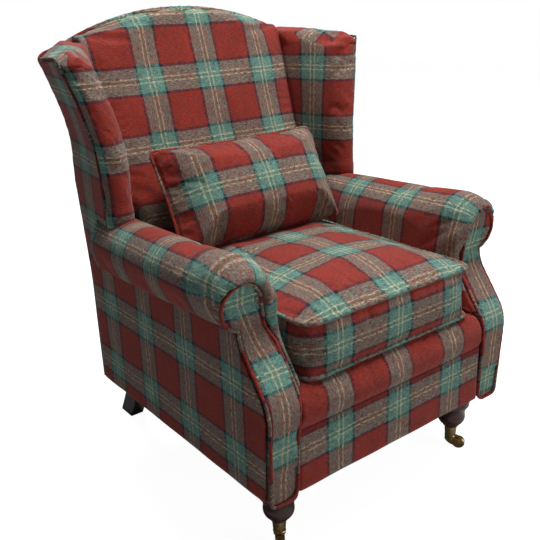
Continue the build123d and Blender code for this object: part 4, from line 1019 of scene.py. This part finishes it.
def wing_welts():
    """Piped seam between a wing's border and its outside panel, up to the cap and over it; its cord, cut from
    the navy band, is painted shade of the seam's groove.
    """
    z = np.linspace(*WELT_HEIGHTS, 34)
    nose_x, nose_y = nose_at(z)
    front = np.column_stack([nose_x + NOSE_RADIUS - 2.0, nose_y + 2.0, z])
    line = np.vstack([front, rounded([front[-1], *WELT_OVER_CAP], WELT_BENDS)])
    cords_on_both_sides("wing_welt", line, WELT_RADIUS, WELT_PAINTED_SHADE_WEFT)


# ---------------------------------------------------------------------------- front and outside covers
def panel(name, node, cloth):
    """Lined cover pulled over the frame, with the slight unevenness of its wadding."""
    mesh = gridded(node, 9.0)
    points = relax(points_of(mesh), edges_of(mesh), 1)
    set_points(mesh, points)
    points = points + normals_of(mesh) * (ripple(points, 160.0, 4.0) * 0.8)[:, None]
    set_points(mesh, eased_corner(points))
    lay_cloth(mesh, cloth)
    finish_piece(name, mesh, "chair", "tartan_wool", [node])


def upright_cloth(axis, crossing, along=REPEAT_ALONG):
    """Bands of an upright panel that runs along X (axis 0) or Y (axis 1)."""
    def cloth(points, normals, centres):
        return bands(points[:, axis], points[:, 2], crossing, along)
    return cloth


def front_lip():
    def pinned(points):
        x, y, z = points.T
        return np.where((z < 309) | (y > FRONT_FACE + 26), 1.0, 0.0)

    mesh = soft_mesh("front_lip", 5.0, 3, pinned, slack=0.01, cap=6.0, start_in=1.0)
    lay_cloth(mesh, upright_cloth(0, LIP_CROSSING))
    finish_piece("front_lip_roll", mesh, "chair", "tartan_wool", ["front_lip"])


def outside_covers():
    panel("front_panel_cover", "front_panel", upright_cloth(0, FRONT_PANEL_CROSSING))
    panel("outside_back_cover", "outside_back", upright_cloth(0, OUTSIDE_BACK_CROSSING, BACK_REPEAT_ALONG))
    wing = upright_cloth(1, OUTSIDE_WING_CROSSING, OUTSIDE_WING_REPEAT_ALONG)
    for side in ("right", "left"):
        panel(f"outside_arm_cover_{side}", f"outside_arm_{side}", upright_cloth(1, OUTSIDE_ARM_CROSSING))
        panel(f"outside_wing_cover_{side}", f"outside_wing_{side}", wing)


def seat_base():
    mesh = remeshed("seat_deck", 9.0)
    set_points(mesh, relax(points_of(mesh), edges_of(mesh), 3))
    lay_cloth(mesh, upright_cloth(1, (0, 0)))
    finish_piece("deck_stuffing", mesh, "chair", "deck_hessian", ["seat_deck"])


def flat_cloth(name, node, slot, sheets):
    """Thin cloths stretched flat; sheets is a list of (corner, along, across) in millimetres."""
    vertices, faces = [], []
    rows = 24
    for corner, along, across in sheets:
        corner, along, across = (np.array(v, float) for v in (corner, along, across))
        base = len(vertices)
        for i in range(rows + 1):
            for k in range(rows + 1):
                point = corner + along * i / rows + across * k / rows
                vertices.append(tuple(point * MM))
        cells = [base + i * (rows + 1) + k for i in range(rows) for k in range(rows)]
        faces += [(c, c + 1, c + rows + 2, c + rows + 1) for c in cells]
    mesh = bpy.data.meshes.new(name)
    mesh.from_pydata(vertices, [], faces)
    lay_cloth(mesh, lambda points, normals, centres: points[:, :2] / REPEAT_ACROSS)
    obj = finish_piece(name, mesh, "chair", slot, [node])


def bottoming():
    low, high = (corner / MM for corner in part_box("dust_cover"))
    corner = (low.x + BOTTOMING_SIDE, low.y + BOTTOMING_FRONT, (low.z + high.z) / 2)
    wide = high.x - low.x - 2 * BOTTOMING_SIDE
    deep = high.y - low.y - BOTTOMING_FRONT - BOTTOMING_REAR
    flat_cloth("bottoming", "dust_cover", "bottoming_cloth", [(corner, (wide, 0, 0), (0, deep, 0))])


def webbing():
    low, high = (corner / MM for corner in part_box("back_webbing"))
    strips = []
    for i in range(WEB_COUNT):
        foot = low.z + i * (high.z - WEB_WIDTH - low.z) / (WEB_COUNT - 1)
        near, far = outside_back_y(foot) - WEB_INSET, outside_back_y(foot + WEB_WIDTH) - WEB_INSET
        strips.append(((low.x, near, foot), (high.x - low.x, 0, 0), (0, far - near, WEB_WIDTH)))
    flat_cloth("webbing_strips", "back_webbing", "jute_webbing", strips)


# ---------------------------------------------------------------------------- stage
def stage():
    floor = bpy.data.meshes.new("floor")
    corners = [(-1, -1), (1, -1), (1, 1), (-1, 1)]
    floor.from_pydata([(x * FLOOR_REACH, y * FLOOR_REACH, 0) for x, y in corners], [], [(0, 1, 2, 3)])
    pale, tree, shader = material("pale_floor")
    shader.inputs["Base Color"].default_value = (0.5, 0.5, 0.5, 1)
    shader.inputs["Roughness"].default_value = 0.9
    shader.inputs["Specular IOR Level"].default_value = 0.0
    shader.inputs["Emission Color"].default_value = (1, 1, 1, 1)
    seen = add(tree, "ShaderNodeLightPath").outputs["Is Camera Ray"]
    tree.links.new(arithmetic(tree, "MULTIPLY", seen, FLOOR_GLOW), shader.inputs["Emission Strength"])
    floor.materials.append(pale)
    new_object("floor", floor)
    world = bpy.data.worlds.new("studio")
    SCENE.world = world
    world.use_nodes = True
    tree = world.node_tree
    background = tree.nodes["Background"]
    background.inputs["Strength"].default_value = 1.0
    path = add(tree, "ShaderNodeLightPath")
    mix = add(tree, "ShaderNodeMix", data_type="RGBA")
    mix.inputs[6].default_value = (0.075, 0.075, 0.08, 1)
    mix.inputs[7].default_value = (1, 1, 1, 1)
    tree.links.new(path.outputs["Is Camera Ray"], mix.inputs[0])
    tree.links.new(mix.outputs[2], background.inputs["Color"])


def light(name, place, aim, size, watts):
    data = bpy.data.lights.new(name, "AREA")
    data.shape = "DISK"
    data.size = size
    data.energy = watts
    obj = new_object(name, data)
    obj.location = place
    obj.rotation_mode = "QUATERNION"
    obj.rotation_quaternion = (Vector(aim) - Vector(place)).to_track_quat("-Z", "Y")


def camera():
    azimuth, elevation, roll = (math.radians(v) for v in (CAMERA_AZIMUTH, CAMERA_ELEVATION, CAMERA_ROLL))
    back = Vector((math.sin(azimuth) * math.cos(elevation), -math.cos(azimuth) * math.cos(elevation),
                   math.sin(elevation)))
    right = (-back).cross(Vector((0, 0, 1))).normalized()
    up = right.cross(-back)
    turned_right = right * math.cos(roll) + up * math.sin(roll)
    turned_up = up * math.cos(roll) - right * math.sin(roll)
    data = bpy.data.cameras.new("camera")
    data.sensor_width = SENSOR
    data.lens = SENSOR * FOCAL_PIXELS / PHOTO_PIXELS
    data.clip_end = 50
    obj = new_object("camera", data)
    place = Matrix((turned_right, turned_up, back)).transposed().to_4x4()
    place.translation = Vector(CAMERA_PLACE) * MM
    obj.matrix_world = place
    SCENE.camera = obj
    SCENE.view_settings.view_transform = "Standard"


paint_cad_nodes()
seat_cushion()
seat_cushion_cords()
scatter_cushion()
scatter_cushion_cord()
fillings()
inside_back()
arm_pads()
facings()
wings()
wing_welts()
front_lip()
outside_covers()
seat_base()
bottoming()
webbing()
stage()
for name, setup in LIGHTS.items():
    light(name, *setup)
camera()
